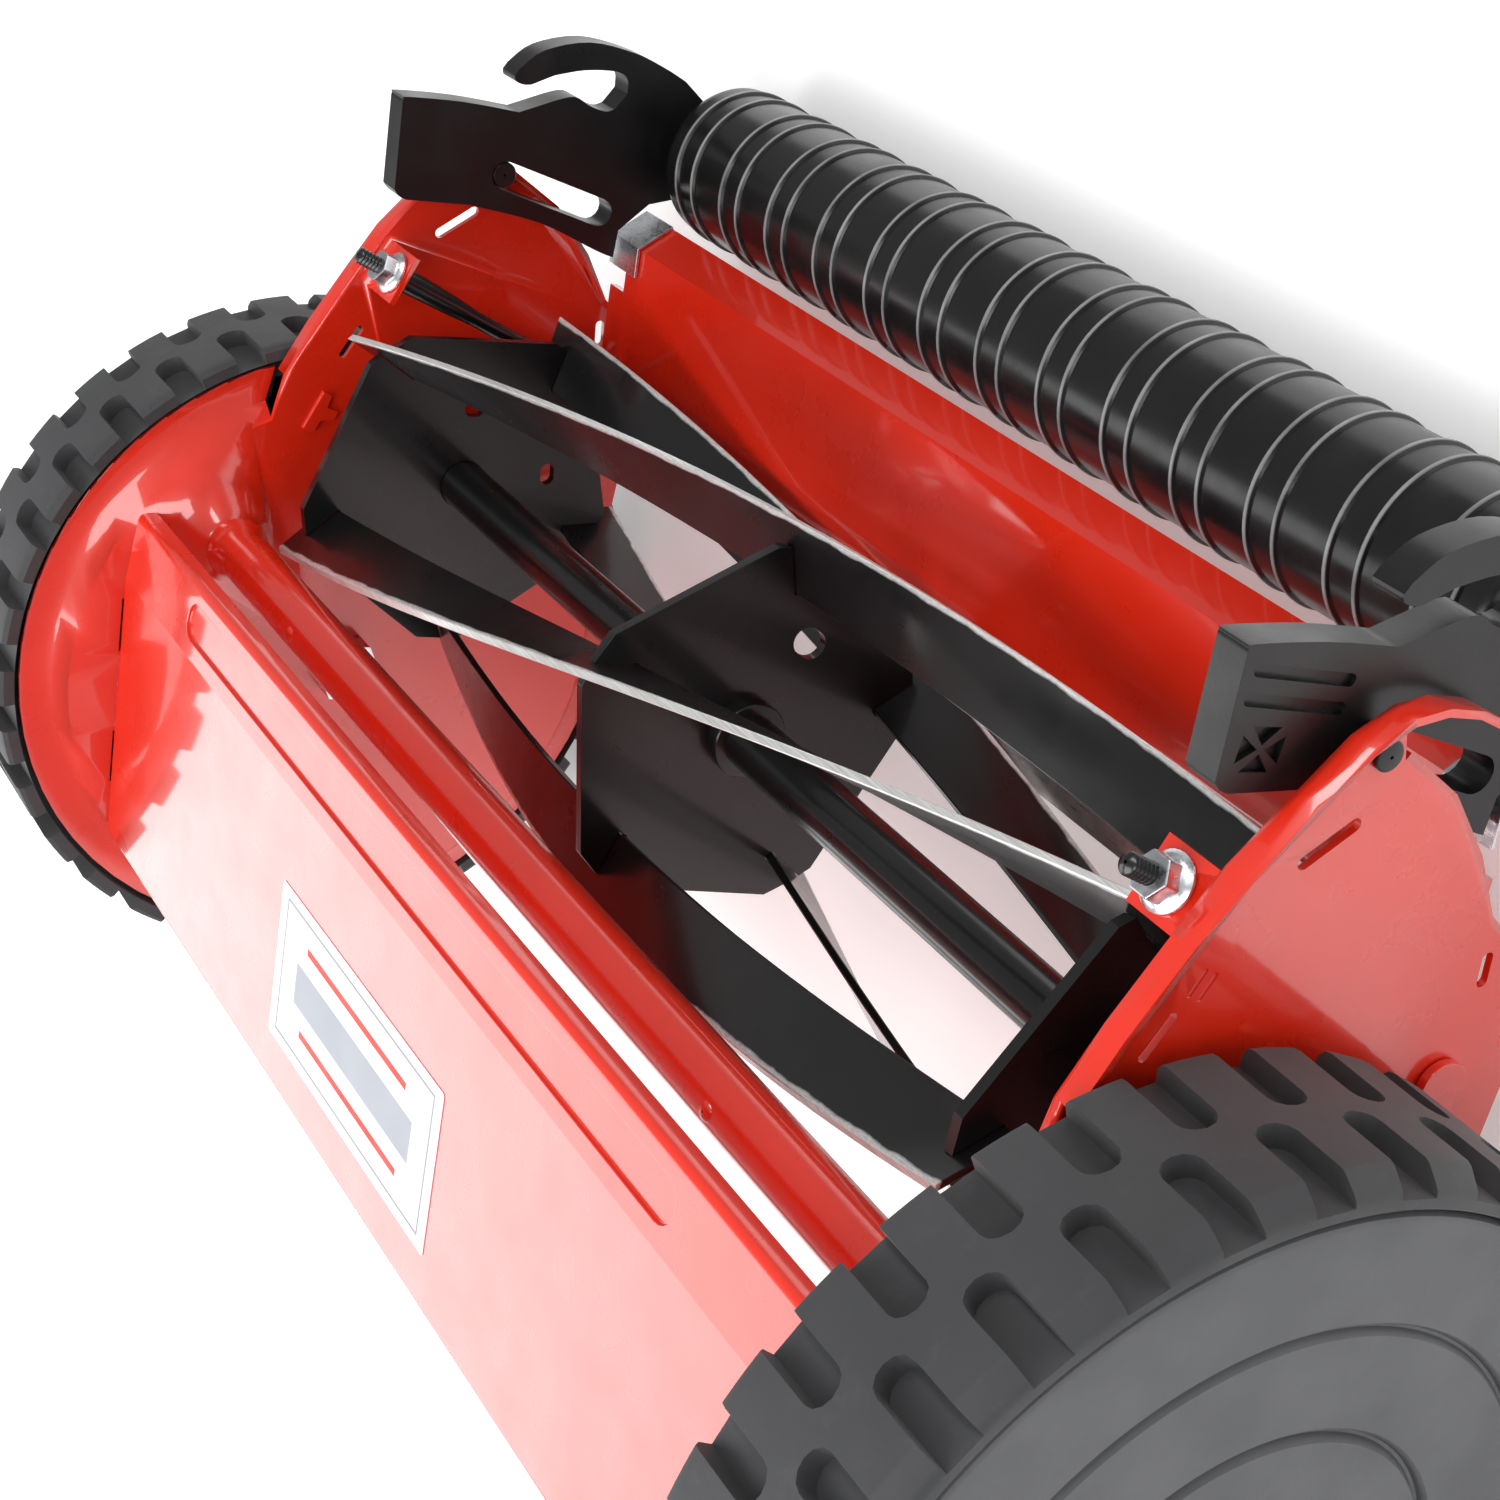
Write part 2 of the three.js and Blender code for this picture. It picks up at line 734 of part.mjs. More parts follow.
// Adjusters: a hooked threaded rod from each lever up through the plate's lug to a nut
const rodAlong = unit(leverHole, adjusterTop);
const nutFace = offset(adjusterTop, rodAlong, seat - 5);
const rodTop = offset(adjusterTop, rodAlong, 9);
const hookEnd = barReach + 1.5;
addPair(
  "adjuster_rod",
  join(
    rod(leverHole, rodTop, rodRadius, rodX, 16),
    disc(leverHole, rodRadius, rodX - rodRadius, hookEnd, 16),
  ),
  blackPaint,
);
function adjusterNut() {
  const blank = new THREE.CylinderGeometry(5.2, 5.2, 5, 6);
  const collar = new THREE.CylinderGeometry(4, 4.4, 9, coarse);
  const bore = new THREE.CylinderGeometry(rodRadius + running, rodRadius + running, 20, 16);
  const tilt = Math.atan2(rodAlong[1], rodAlong[0]);
  const place = (geometry, lift) => {
    const [y, z] = offset(nutFace, rodAlong, lift);
    return solid(geometry.rotateX(tilt).translate(rodX, y, z));
  };
  return cut(join(place(blank, 2.5), place(collar, 4.5)), place(bore, 4.5));
}
addPair("adjuster_nut", adjusterNut(), zinc);

// Roller, its axle and the two brackets
add(
  "roller",
  turned(
    rollerAxis,
    [
      [rollerAxleRadius + running, -rollerReach],
      [rollerRadius - 6, -rollerReach],
      [rollerRadius, -rollerReach + 9],
      [rollerRadius, rollerReach - 9],
      [rollerRadius - 6, rollerReach],
      [rollerAxleRadius + running, rollerReach],
      [rollerAxleRadius + running, -rollerReach],
    ],
    48,
  ),
  blackPlastic,
);
const hubOutline = polarArc(rollerAxis, 13.5, -3.0, 0.3, 8);
function polarArc(centre, radius, from, to, count) {
  return Array.from({ length: count + 1 }, (_, i) =>
    polar(centre, radius, from + ((to - from) * i) / count),
  );
}
const bracketOutline = [
  [162, 130.7],
  [159.3, 127.1],
  [160.5, 105.3],
  [157.7, 80.1],
  [151.3, 58.7],
  [149.6, 51.5],
  [158.5, 51.8],
  [168, 43],
  ...hubOutline,
  [208, 40],
  [211, 48.3],
  [214, 60],
  [rearmost, 76.2],
  [210.3, 90.8],
  [203.6, 97.9],
  [200.3, 99.3],
  [199.1, 93.5],
  [203.3, 85.8],
  [206.3, 76],
  [207.5, 65.5],
  [206, 60.8],
  [201.4, 59.6],
  [196.2, 62.7],
  [194.9, 65.9],
  [195.9, 71.5],
  [197.9, 77.4],
  [195.8, 83.9],
  [190.7, 95],
  [191.2, 113.8],
  [190.2, 133.7],
];
const bracketSlotRadius = studRadius + 1.4;
addPair(
  "roller_bracket",
  cut(
    slab(bracketOutline, bracketInner, bracketOuter),
    slot(heightStudAt, slotEnd, bracketSlotRadius, bracketInner - 1, bracketOuter + 1),
    disc(rollerAxis, rollerAxleRadius + seat, bracketInner - 1, bracketOuter + 1),
  ),
  blackPlastic,
);
const studHead = bracketInner - seat;
addPair(
  "height_stud",
  join(
    disc(heightStudAt, studRadius, studHead - 1.5, plateOuter + 3),
    disc(heightStudAt, bracketSlotRadius + 2, studHead - 2.5, studHead),
    disc(heightStudAt, studRadius + 0.8, bracketOuter + seat, plateInner - seat),
    disc(heightStudAt, bracketSlotRadius + 1, plateOuter + seat, plateOuter + 3),
  ),
  blackPaint,
);
const axleReach = bracketOuter + 1;
add(
  "roller_axle",
  join(
    disc(rollerAxis, rollerAxleRadius, -axleReach, axleReach),
    ring(rollerAxis, rollerAxleRadius - 1, rollerAxleRadius + 3, rollerReach + 0.8, bracketInner - seat),
    ring(rollerAxis, rollerAxleRadius - 1, rollerAxleRadius + 3, seat - bracketInner, -rollerReach - 0.8),
  ),
  bareSteel,
);

export default mower;
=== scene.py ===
"""Reel mower: visible pieces, finishes, floor, light and camera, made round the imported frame."""

import math

import bpy
from mathutils import Matrix, Vector


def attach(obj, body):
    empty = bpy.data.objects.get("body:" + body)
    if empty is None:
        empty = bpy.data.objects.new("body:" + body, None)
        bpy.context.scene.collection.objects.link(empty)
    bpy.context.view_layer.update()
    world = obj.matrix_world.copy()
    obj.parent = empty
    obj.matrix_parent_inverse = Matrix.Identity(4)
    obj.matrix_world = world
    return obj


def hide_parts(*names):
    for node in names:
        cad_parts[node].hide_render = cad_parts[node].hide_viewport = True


bl_info = {
    "name": "Reel mower maker",
    "version": (1, 0, 0),
    "blender": (4, 5, 0),
    "location": "View3D > Sidebar > Mower",
    "description": "Models the visible pieces of a push reel mower around its packed frame",
    "category": "Object",
}

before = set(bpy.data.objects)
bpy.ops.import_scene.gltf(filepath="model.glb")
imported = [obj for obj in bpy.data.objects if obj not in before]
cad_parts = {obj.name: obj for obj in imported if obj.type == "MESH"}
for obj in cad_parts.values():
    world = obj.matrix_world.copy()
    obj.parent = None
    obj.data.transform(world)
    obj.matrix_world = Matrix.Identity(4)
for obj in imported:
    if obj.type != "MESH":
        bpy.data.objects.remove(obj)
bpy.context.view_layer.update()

MM = 0.001
SIDES = (("right", 1), ("left", -1))

# Places in the side view, in metres from the middle of the mower and the floor
AXLE_Y = -0.05195
WHEEL = (AXLE_Y, 0.111)
REEL = (AXLE_Y + 0.0765 * math.cos(math.radians(-12.8)), 0.111 + 0.0765 * math.sin(math.radians(-12.8)))
TUBE = (AXLE_Y + 0.0438, 0.1595)
ROLLER = (AXLE_Y + 0.1877, 0.0248)
LEVER_HOLE = (AXLE_Y + 0.108, 0.050)
ADJUSTER_TOP = (AXLE_Y + 0.1378, 0.1298)
PLATE_INNER = 0.208
PLATE_OUTER = 0.2098


# ---------------------------------------------------------------- modelling helpers
def clear():
    """Leaves object mode with nothing selected."""
    if bpy.context.mode != "OBJECT":
        bpy.ops.object.mode_set(mode="OBJECT")
    bpy.ops.object.select_all(action="DESELECT")


def pick(obj):
    clear()
    obj.select_set(True)
    bpy.context.view_layer.objects.active = obj
    return obj


def edit(obj):
    pick(obj)
    bpy.ops.object.mode_set(mode="EDIT")
    bpy.ops.mesh.select_all(action="SELECT")


def ring_of(name, points):
    """A closed loop of vertices through the points."""
    clear()
    bpy.ops.mesh.primitive_circle_add(vertices=len(points), radius=0.01, fill_type="NOTHING")
    obj = bpy.context.object
    obj.name = obj.data.name = name
    for vertex, point in zip(obj.data.vertices, points):
        vertex.co = point
    return obj


def tidy_mesh(obj, merge=1e-6):
    edit(obj)
    bpy.ops.mesh.remove_doubles(threshold=merge)
    bpy.ops.mesh.delete_loose(use_verts=True, use_edges=True, use_faces=False)
    bpy.ops.mesh.select_all(action="SELECT")
    bpy.ops.mesh.normals_make_consistent(inside=False)
    bpy.ops.object.mode_set(mode="OBJECT")
    return obj


def spun(name, centre, profile, steps=64):
    """Round piece: a closed profile of (radius, place across) turned round a line across the mower."""
    y, z = centre
    obj = ring_of(name, [(x, y + r, z) for r, x in profile])
    edit(obj)
    bpy.ops.mesh.spin(steps=steps, angle=2 * math.pi, center=(0, y, z), axis=(1, 0, 0))
    return tidy_mesh(obj)


def prism(name, outline, start, end):
    """A side-view outline of (y, z) points carried across from start to end."""
    obj = ring_of(name, [(start, y, z) for y, z in outline])
    edit(obj)
    bpy.ops.mesh.edge_face_add()
    bpy.ops.mesh.extrude_region_move(TRANSFORM_OT_translate={"value": (end - start, 0, 0)})
    return tidy_mesh(obj)


def apply_modifier(obj, kind, **settings):
    pick(obj)
    modifier = obj.modifiers.new(kind.lower(), kind)
    for key, value in settings.items():
        setattr(modifier, key, value)
    bpy.ops.object.modifier_apply(modifier=modifier.name)
    return obj


def combine(obj, tool, operation="DIFFERENCE"):
    """Cuts tool from obj, or adds it, and removes the tool."""
    apply_modifier(obj, "BOOLEAN", object=tool, operation=operation, solver="EXACT")
    bpy.data.objects.remove(tool)
    return obj


def joined(name, objs):
    pick(objs[0])
    for other in objs[1:]:
        other.select_set(True)
    bpy.ops.object.join()
    obj = bpy.context.object
    obj.name = obj.data.name = name
    return obj


def soften(obj, width, angle=30, segments=2, smooth=35):
    """Rounds the edges sharper than angle and shades the rest smooth."""
    if width:
        apply_modifier(
            obj,
            "BEVEL",
            width=width,
            segments=segments,
            limit_method="ANGLE",
            angle_limit=math.radians(angle),
            use_clamp_overlap=True,
            miter_outer="MITER_ARC",
        )
    obj["smooth"] = smooth
    return obj


def shade(obj):
    """Shades the piece smooth below its angle, with broad faces kept flat."""
    angle = obj.get("smooth", 35)
    if "smooth" in obj:
        del obj["smooth"]
    pick(obj)
    bpy.ops.object.shade_smooth_by_angle(angle=math.radians(angle))
    apply_modifier(obj, "WEIGHTED_NORMAL", keep_sharp=True, weight=80)


def from_cad(name, node, whole_faces=True):
    """A merged copy of a frame node, with its flat faces whole again."""
    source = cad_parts[node]
    obj = source.copy()
    obj.data = source.data.copy()
    bpy.context.scene.collection.objects.link(obj)
    obj.parent = None
    obj.matrix_world = Matrix.Identity(4)
    for key in list(obj.keys()):
        del obj[key]
    obj.name = obj.data.name = name
    obj.data.materials.clear()
    edit(obj)
    bpy.ops.mesh.remove_doubles(threshold=2e-6)
    if whole_faces:
        bpy.ops.mesh.dissolve_limited(angle_limit=math.radians(0.6))
    bpy.ops.object.mode_set(mode="OBJECT")
    return obj


def mirrored(obj, name):
    """The same piece for the other side, with its own mesh."""
    other = obj.copy()
    other.data = obj.data.copy()
    bpy.context.scene.collection.objects.link(other)
    other.name = other.data.name = name
    edit(other)
    bpy.ops.transform.resize(value=(-1, 1, 1), center_override=(0, 0, 0))
    bpy.ops.mesh.normals_make_consistent(inside=False)
    bpy.ops.object.mode_set(mode="OBJECT")
    return other


def placed(obj, body, finish, slot, *nodes):
    """Paints the piece, hangs it on its body, and hides the frame nodes that it stands for."""
    obj.data.materials.clear()
    obj.data.materials.append(finish)
    shade(obj)
    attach(obj, body)
    if nodes:
        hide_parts(*nodes)
    return obj


def both_sides(name, obj, body, finish, slot, *nodes):
    """Places a right-hand piece and its mirror image. Bodies and nodes take the side's name at *."""
    other = mirrored(obj, "left_" + name)
    obj.name = obj.data.name = "right_" + name
    for (side, _), piece in zip(SIDES, (obj, other)):
        placed(piece, body.replace("*", side), finish, slot, *[n.replace("*", side) for n in nodes])


def polar(centre, radius, degrees):
    angle = math.radians(degrees)
    return centre[0] + radius * math.cos(angle), centre[1] + radius * math.sin(angle)


def capsule(name, start, end, radius, x0, x1, steps=8):
    """A bar with round ends between two side-view points, carried from x0 to x1."""
    turn = math.degrees(math.atan2(end[1] - start[1], end[0] - start[0]))
    outline = [polar(end, radius, turn - 90 + 180 * i / steps) for i in range(steps + 1)]
    outline += [polar(start, radius, turn + 90 + 180 * i / steps) for i in range(steps + 1)]
    return prism(name, outline, x0, x1)


# ---------------------------------------------------------------- finishes
class Finish:
    """A node material being put together."""

    def __init__(self, name):
        self.material = bpy.data.materials.new(name)
        self.material.use_nodes = True
        self.nodes = self.material.node_tree.nodes
        self.links = self.material.node_tree.links
        self.shader = self.nodes["Principled BSDF"]
        self.place = self.nodes.new("ShaderNodeTexCoord").outputs["Object"]

    def set(self, **values):
        for key, value in values.items():
            self.shader.inputs[key.replace("_", " ")].default_value = value

    def noise(self, scale, detail=3.0, rough=0.5, stretch=None):
        node = self.nodes.new("ShaderNodeTexNoise")
        node.inputs["Scale"].default_value = scale
        node.inputs["Detail"].default_value = detail
        node.inputs["Roughness"].default_value = rough
        source = self.place
        if stretch:
            mapping = self.nodes.new("ShaderNodeMapping")
            mapping.inputs["Scale"].default_value = stretch
            self.links.new(self.place, mapping.inputs["Vector"])
            source = mapping.outputs["Vector"]
        self.links.new(source, node.inputs["Vector"])
        return node.outputs["Fac"]

    def math(self, operation, a, b=0.0, clamp=False):
        node = self.nodes.new("ShaderNodeMath")
        node.operation = operation
        node.use_clamp = clamp
        for socket, value in zip(node.inputs, (a, b)):
            if isinstance(value, bpy.types.NodeSocket):
                self.links.new(value, socket)
            else:
                socket.default_value = value
        return node.outputs["Value"]

    def spread(self, factor, low, high, start=0.3, end=0.7):
        """A number that runs from low to high as factor runs from start to end."""
        node = self.nodes.new("ShaderNodeMapRange")
        for key, value in (("From Min", start), ("From Max", end), ("To Min", low), ("To Max", high)):
            node.inputs[key].default_value = value
        self.links.new(factor, node.inputs["Value"])
        return node.outputs["Result"]

    def mix(self, factor, a, b):
        node = self.nodes.new("ShaderNodeMix")
        node.data_type = "RGBA"
        self.links.new(factor, node.inputs["Factor"])
        for socket, value in ((node.inputs[6], a), (node.inputs[7], b)):
            if isinstance(value, bpy.types.NodeSocket):
                self.links.new(value, socket)
            else:
                socket.default_value = (*value, 1)
        return node.outputs[2]

    def feed(self, key, socket):
        self.links.new(socket, self.shader.inputs[key])

    def bump(self, *layers):
        """Layers of (height socket, distance in metres, strength)."""
        normal = None
        for height, distance, strength in layers:
            node = self.nodes.new("ShaderNodeBump")
            node.inputs["Distance"].default_value = distance
            node.inputs["Strength"].default_value = strength
            self.links.new(height, node.inputs["Height"])
            if normal:
                self.links.new(normal, node.inputs["Normal"])
            normal = node.outputs["Normal"]
        self.feed("Normal", normal)

    def axis(self, name):
        node = self.nodes.new("ShaderNodeSeparateXYZ")
        self.links.new(self.place, node.inputs["Vector"])
        return node.outputs[name]

    def radius_from(self, centre):
        """Distance from a line across the mower."""
        y = self.math("SUBTRACT", self.axis("Y"), centre[0])
        z = self.math("SUBTRACT", self.axis("Z"), centre[1])
        squares = self.math("ADD", self.math("MULTIPLY", y, y), self.math("MULTIPLY", z, z))
        return self.math("SQRT", squares)


def shade_of(colour, factor):
    return tuple(min(1.0, c * factor) for c in colour[:3])


def powder_coat(colour):
    f = Finish("red_powder_coat")
    f.set(Roughness=0.3, Specular_IOR_Level=0.5, Coat_Weight=1.0, Coat_Roughness=0.06, Coat_IOR=1.6)
    tone = f.mix(f.spread(f.noise(14, 4), 0, 1), shade_of(colour, 0.9), shade_of(colour, 1.04))
    dust = f.spread(f.noise(620, 2), 0, 0.1, 0.64, 0.8)
    f.feed("Base Color", f.mix(dust, tone, shade_of(colour, 0.62)))
    f.feed("Roughness", f.spread(f.noise(55, 5), 0.24, 0.36))
    f.bump((f.noise(260, 2), 0.00003, 0.2), (f.noise(1500, 1), 0.00001, 0.15))
    return f.material


def reel_enamel(colour, steel, edge_radius, edge=True):
    """Black enamel, ground to bright steel on the outer edge of a blade."""
    f = Finish("black_enamel_ground_edge" if edge else "black_enamel")
    f.set(Coat_Weight=0.45, Coat_Roughness=0.12, Specular_IOR_Level=0.4)
    tone = f.mix(f.spread(f.noise(30, 5), 0, 1), shade_of(colour, 0.7), shade_of(colour, 1.5))
    smear = f.spread(f.noise(90, 5, 0.6), 0.26, 0.36)
    if edge:
        wander = f.math("MULTIPLY", f.spread(f.noise(120, 3), -1, 1), 0.00035)
        reach = f.math("ADD", f.radius_from(REEL), wander)
        bare = f.spread(reach, 0, 1, edge_radius - 0.0016, edge_radius - 0.0009)
        lines = f.noise(60, 2, 0.6, (1, 40, 40))
        steel_tone = f.mix(f.spread(lines, 0, 1), shade_of(steel, 0.72), shade_of(steel, 1.08))
        f.feed("Base Color", f.mix(bare, tone, steel_tone))
        f.feed("Metallic", f.math("MULTIPLY", bare, 0.55))
        f.feed("Roughness", f.math("ADD", smear, f.math("MULTIPLY", bare, 0.08)))
    else:
        f.feed("Base Color", tone)
        f.feed("Roughness", smear)
    f.bump((f.noise(320, 2), 0.00003, 0.15))
    return f.material


def moulded(name, colour, rough, grain, grain_depth, wear=0.25, sheen=0.0, crest=None):
    """Black moulded plastic or rubber with a fine grain and paler scuffs, with a painted highlight beyond the crest
    radius.
    """
    f = Finish(name)
    f.set(Specular_IOR_Level=0.45, Sheen_Weight=sheen, Sheen_Roughness=0.5)
    tone = f.mix(f.spread(f.noise(18, 5), 0, 1), shade_of(colour, 0.78), shade_of(colour, 1.2))
    scuff = f.spread(f.noise(140, 6, 0.7), 0, wear, 0.56, 0.8)
    tone = f.mix(scuff, tone, tuple(c * 1.9 + 0.02 for c in colour[:3]))
    # Painted highlight: pale grey painted along the roller's rib crests where light catches them
    if crest:
        centre, radius = crest
        painted_highlight = f.spread(f.radius_from(centre), 0, 1, radius - 0.00035, radius - 0.00005)
        painted_highlight = f.math("MULTIPLY", painted_highlight, f.spread(f.noise(70, 4), 0.45, 1))
        tone = f.mix(painted_highlight, tone, (0.3, 0.3, 0.31))
    f.feed("Base Color", tone)
    f.feed("Roughness", f.spread(f.noise(60, 5), rough - 0.07, rough + 0.08))
    f.bump((f.noise(grain, 2), grain_depth, 0.5), (f.noise(grain * 0.16, 3), grain_depth * 3, 0.2))
    return f.material


def plated(name, colour, rough, lines=(1, 1, 1)):
    """Zinc plate or ground steel, cloudy and finely scratched."""
    f = Finish(name)
    f.set(Metallic=1.0)
    cloud = f.spread(f.noise(150, 5), 0, 1)
    f.feed("Base Color", f.mix(cloud, shade_of(colour, 0.8), shade_of(colour, 1.1)))
    scratch = f.noise(500, 4, 0.6, lines)
    f.feed("Roughness", f.spread(scratch, rough - 0.1, rough + 0.12))
    f.bump((scratch, 0.00003, 0.4), (f.noise(90, 2), 0.00015, 0.15))
    return f.material


def printed_label(accent):
    """White printed film: a fine border, a pale band and two accent bars, with no words."""
    f = Finish("label_print")
    f.set(Specular_IOR_Level=0.2)
    x, y = f.axis("X"), f.axis("Y")
    across = f.math("ABSOLUTE", f.math("SUBTRACT", x, LABEL_CENTRE[0]))
    along = f.math("ABSOLUTE", f.math("SUBTRACT", y, LABEL_CENTRE[1]))

    def inside(half_x, half_y):
        near_x = f.math("LESS_THAN", across, half_x)
        return f.math("MULTIPLY", near_x, f.math("LESS_THAN", along, half_y))

    frame_line = f.math("SUBTRACT", inside(0.0505, 0.0208), inside(0.0497, 0.0200))
    band = inside(0.040, 0.0062)
    bars = f.math("MULTIPLY", inside(0.034, 0.0140), f.math("GREATER_THAN", along, 0.0118))
    film = f.mix(f.spread(f.noise(30, 4), 0, 1), (0.74, 0.74, 0.75), (0.8, 0.8, 0.8))
    tone = f.mix(band, film, (0.36, 0.38, 0.43))
    tone = f.mix(bars, tone, accent)
    f.feed("Base Color", f.mix(frame_line, tone, (0.3, 0.31, 0.33)))
    f.feed("Roughness", f.spread(f.noise(80, 4), 0.3, 0.42))
    f.bump((f.noise(900, 2), 0.00002, 0.3))
    return f.material


def floor_paper(colour):
    f = Finish("floor_paper")
    f.set(Roughness=0.85, Specular_IOR_Level=0.2, Emission_Color=(1, 1, 1, 1), Emission_Strength=0.27)
    f.feed("Base Color", f.mix(f.spread(f.noise(3, 4), 0, 1), shade_of(colour, 0.99), colour[:3]))
    f.bump((f.noise(400, 2), 0.0001, 0.05))
    return f.material


FINISHES = {}


# ---------------------------------------------------------------- settings
class MowerSizes(bpy.types.PropertyGroup):
    """Sizes of the visible details."""

    tread_blocks: bpy.props.IntProperty(
        name="Tread blocks", description="Blocks round each shoulder of a tyre", default=32, min=12, max=48
    )
    tread_depth: bpy.props.FloatProperty(
        name="Tread depth", description="Depth of the tread notches", default=0.0052, min=0.001, max=0.007, unit="LENGTH"
    )
    notch_width: bpy.props.FloatProperty(
        name="Notch width", description="Width of a tread notch", default=0.0092, min=0.004, max=0.014, unit="LENGTH"
    )
    roller_rib: bpy.props.FloatProperty(
        name="Roller rib", description="Height of the roller's ribs", default=0.0009, min=0.0002, max=0.003, unit="LENGTH"
    )
    label_length: bpy.props.FloatProperty(
        name="Label length", description="Length of the cover's label", default=0.110, min=0.05, max=0.2, unit="LENGTH"
    )
    label_width: bpy.props.FloatProperty(
        name="Label width", description="Width of the cover's label", default=0.048, min=0.02, max=0.08, unit="LENGTH"
    )
    edge_softness: bpy.props.FloatProperty(
        name="Edge softness", description="Rounding of sheet metal edges", default=0.0004, min=0, max=0.001, unit="LENGTH"
    )


class MowerColours(bpy.types.PropertyGroup):
    """Colours of the finishes."""

    paint: bpy.props.FloatVectorProperty(
        name="Paint", description="Powder coat of the chassis", subtype="COLOR", default=(0.78, 0.022, 0.005), min=0, max=1
    )
    enamel: bpy.props.FloatVectorProperty(
        name="Enamel", description="Black enamel of the reel", subtype="COLOR", default=(0.0045, 0.0045, 0.005), min=0, max=1
    )
    rubber: bpy.props.FloatVectorProperty(
        name="Rubber", description="Tyres", subtype="COLOR", default=(0.038, 0.0385, 0.041), min=0, max=1
    )
    wheel: bpy.props.FloatVectorProperty(
        name="Wheel", description="Wheel discs", subtype="COLOR", default=(0.078, 0.079, 0.083), min=0, max=1
    )
    plastic: bpy.props.FloatVectorProperty(
        name="Black plastic", description="Roller and brackets", subtype="COLOR", default=(0.006, 0.006, 0.0065), min=0, max=1
    )
    zinc: bpy.props.FloatVectorProperty(
        name="Zinc", description="Nuts, bolts and clips", subtype="COLOR", default=(0.74, 0.76, 0.8), min=0, max=1
    )
    steel: bpy.props.FloatVectorProperty(
        name="Steel", description="Ground steel", subtype="COLOR", default=(0.8, 0.8, 0.79), min=0, max=1
    )
    floor: bpy.props.FloatVectorProperty(
        name="Floor", description="Floor", subtype="COLOR", default=(0.9, 0.9, 0.9), min=0, max=1
    )


LABEL_CENTRE = (-0.0045, AXLE_Y - 0.0235)
# The cover's outer faces in the side view, from its front lip to its rear lip
COVER_LINE = [
    (AXLE_Y - 0.074, 0.165),
    (AXLE_Y - 0.062, 0.181),
    (AXLE_Y + 0.027, 0.189),
    (AXLE_Y + 0.049, 0.188),
    (AXLE_Y + 0.0494, 0.1823),
]


def cover_height(y):
    """Height of the cover's broad face at a place along the mower."""
    (y0, z0), (y1, z1) = COVER_LINE[1], COVER_LINE[2]
    return z0 + (z1 - z0) * (y - y0) / (y1 - y0)


# ---------------------------------------------------------------- operators
class MOWER_OT_finishes(bpy.types.Operator):
    """Make the finishes of all the pieces"""

    bl_idname = "mower.finishes"
    bl_label = "Finishes"

    def execute(self, context):
        c = context.scene.mower_colours
        FINISHES.update(
            paint=powder_coat(c.paint),
            blade=reel_enamel(c.enamel, c.steel, 0.061),
            enamel=reel_enamel(c.enamel, c.steel, 0.061, edge=False),
            rubber=moulded("charcoal_rubber", c.rubber, 0.62, 1100, 0.00008, 0.3, 0.1),
            wheel=moulded("charcoal_plastic", c.wheel, 0.5, 1300, 0.00005, 0.1),
            # The crest radius marks where the roller gets its painted highlight along the rib crests
            roller=moulded("black_roller_plastic", c.plastic, 0.24, 900, 0.00002, 0.1, crest=(ROLLER, 0.0248)),
            bracket=moulded("black_nylon", c.plastic, 0.34, 1000, 0.00004, 0.12),
            zinc=plated("zinc_plate", c.zinc, 0.3),
            steel=plated("ground_steel", c.steel, 0.34, (0.2, 6, 6)),
            label=printed_label(shade_of(c.paint, 1.0)),
            floor=floor_paper(c.floor),
        )
        return {"FINISHED"}


class MOWER_OT_frame_nodes(bpy.types.Operator):
    """Paint the small inner pieces that stay as the frame has them"""

    bl_idname = "mower.frame_nodes"
    bl_label = "Frame pieces"

    def execute(self, context):
        groups = {
            "zinc": ["axle_stud", "axle_nut"],
            "bracket": ["bearing"],
            "steel": ["pinion", "pawl"],
        }
        for finish, names in groups.items():
            for name in names:
                for side, _ in SIDES:
                    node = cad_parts[f"{side}_{name}"]
                    node.data.materials.clear()
                    node.data.materials.append(FINISHES[finish])
        return {"FINISHED"}


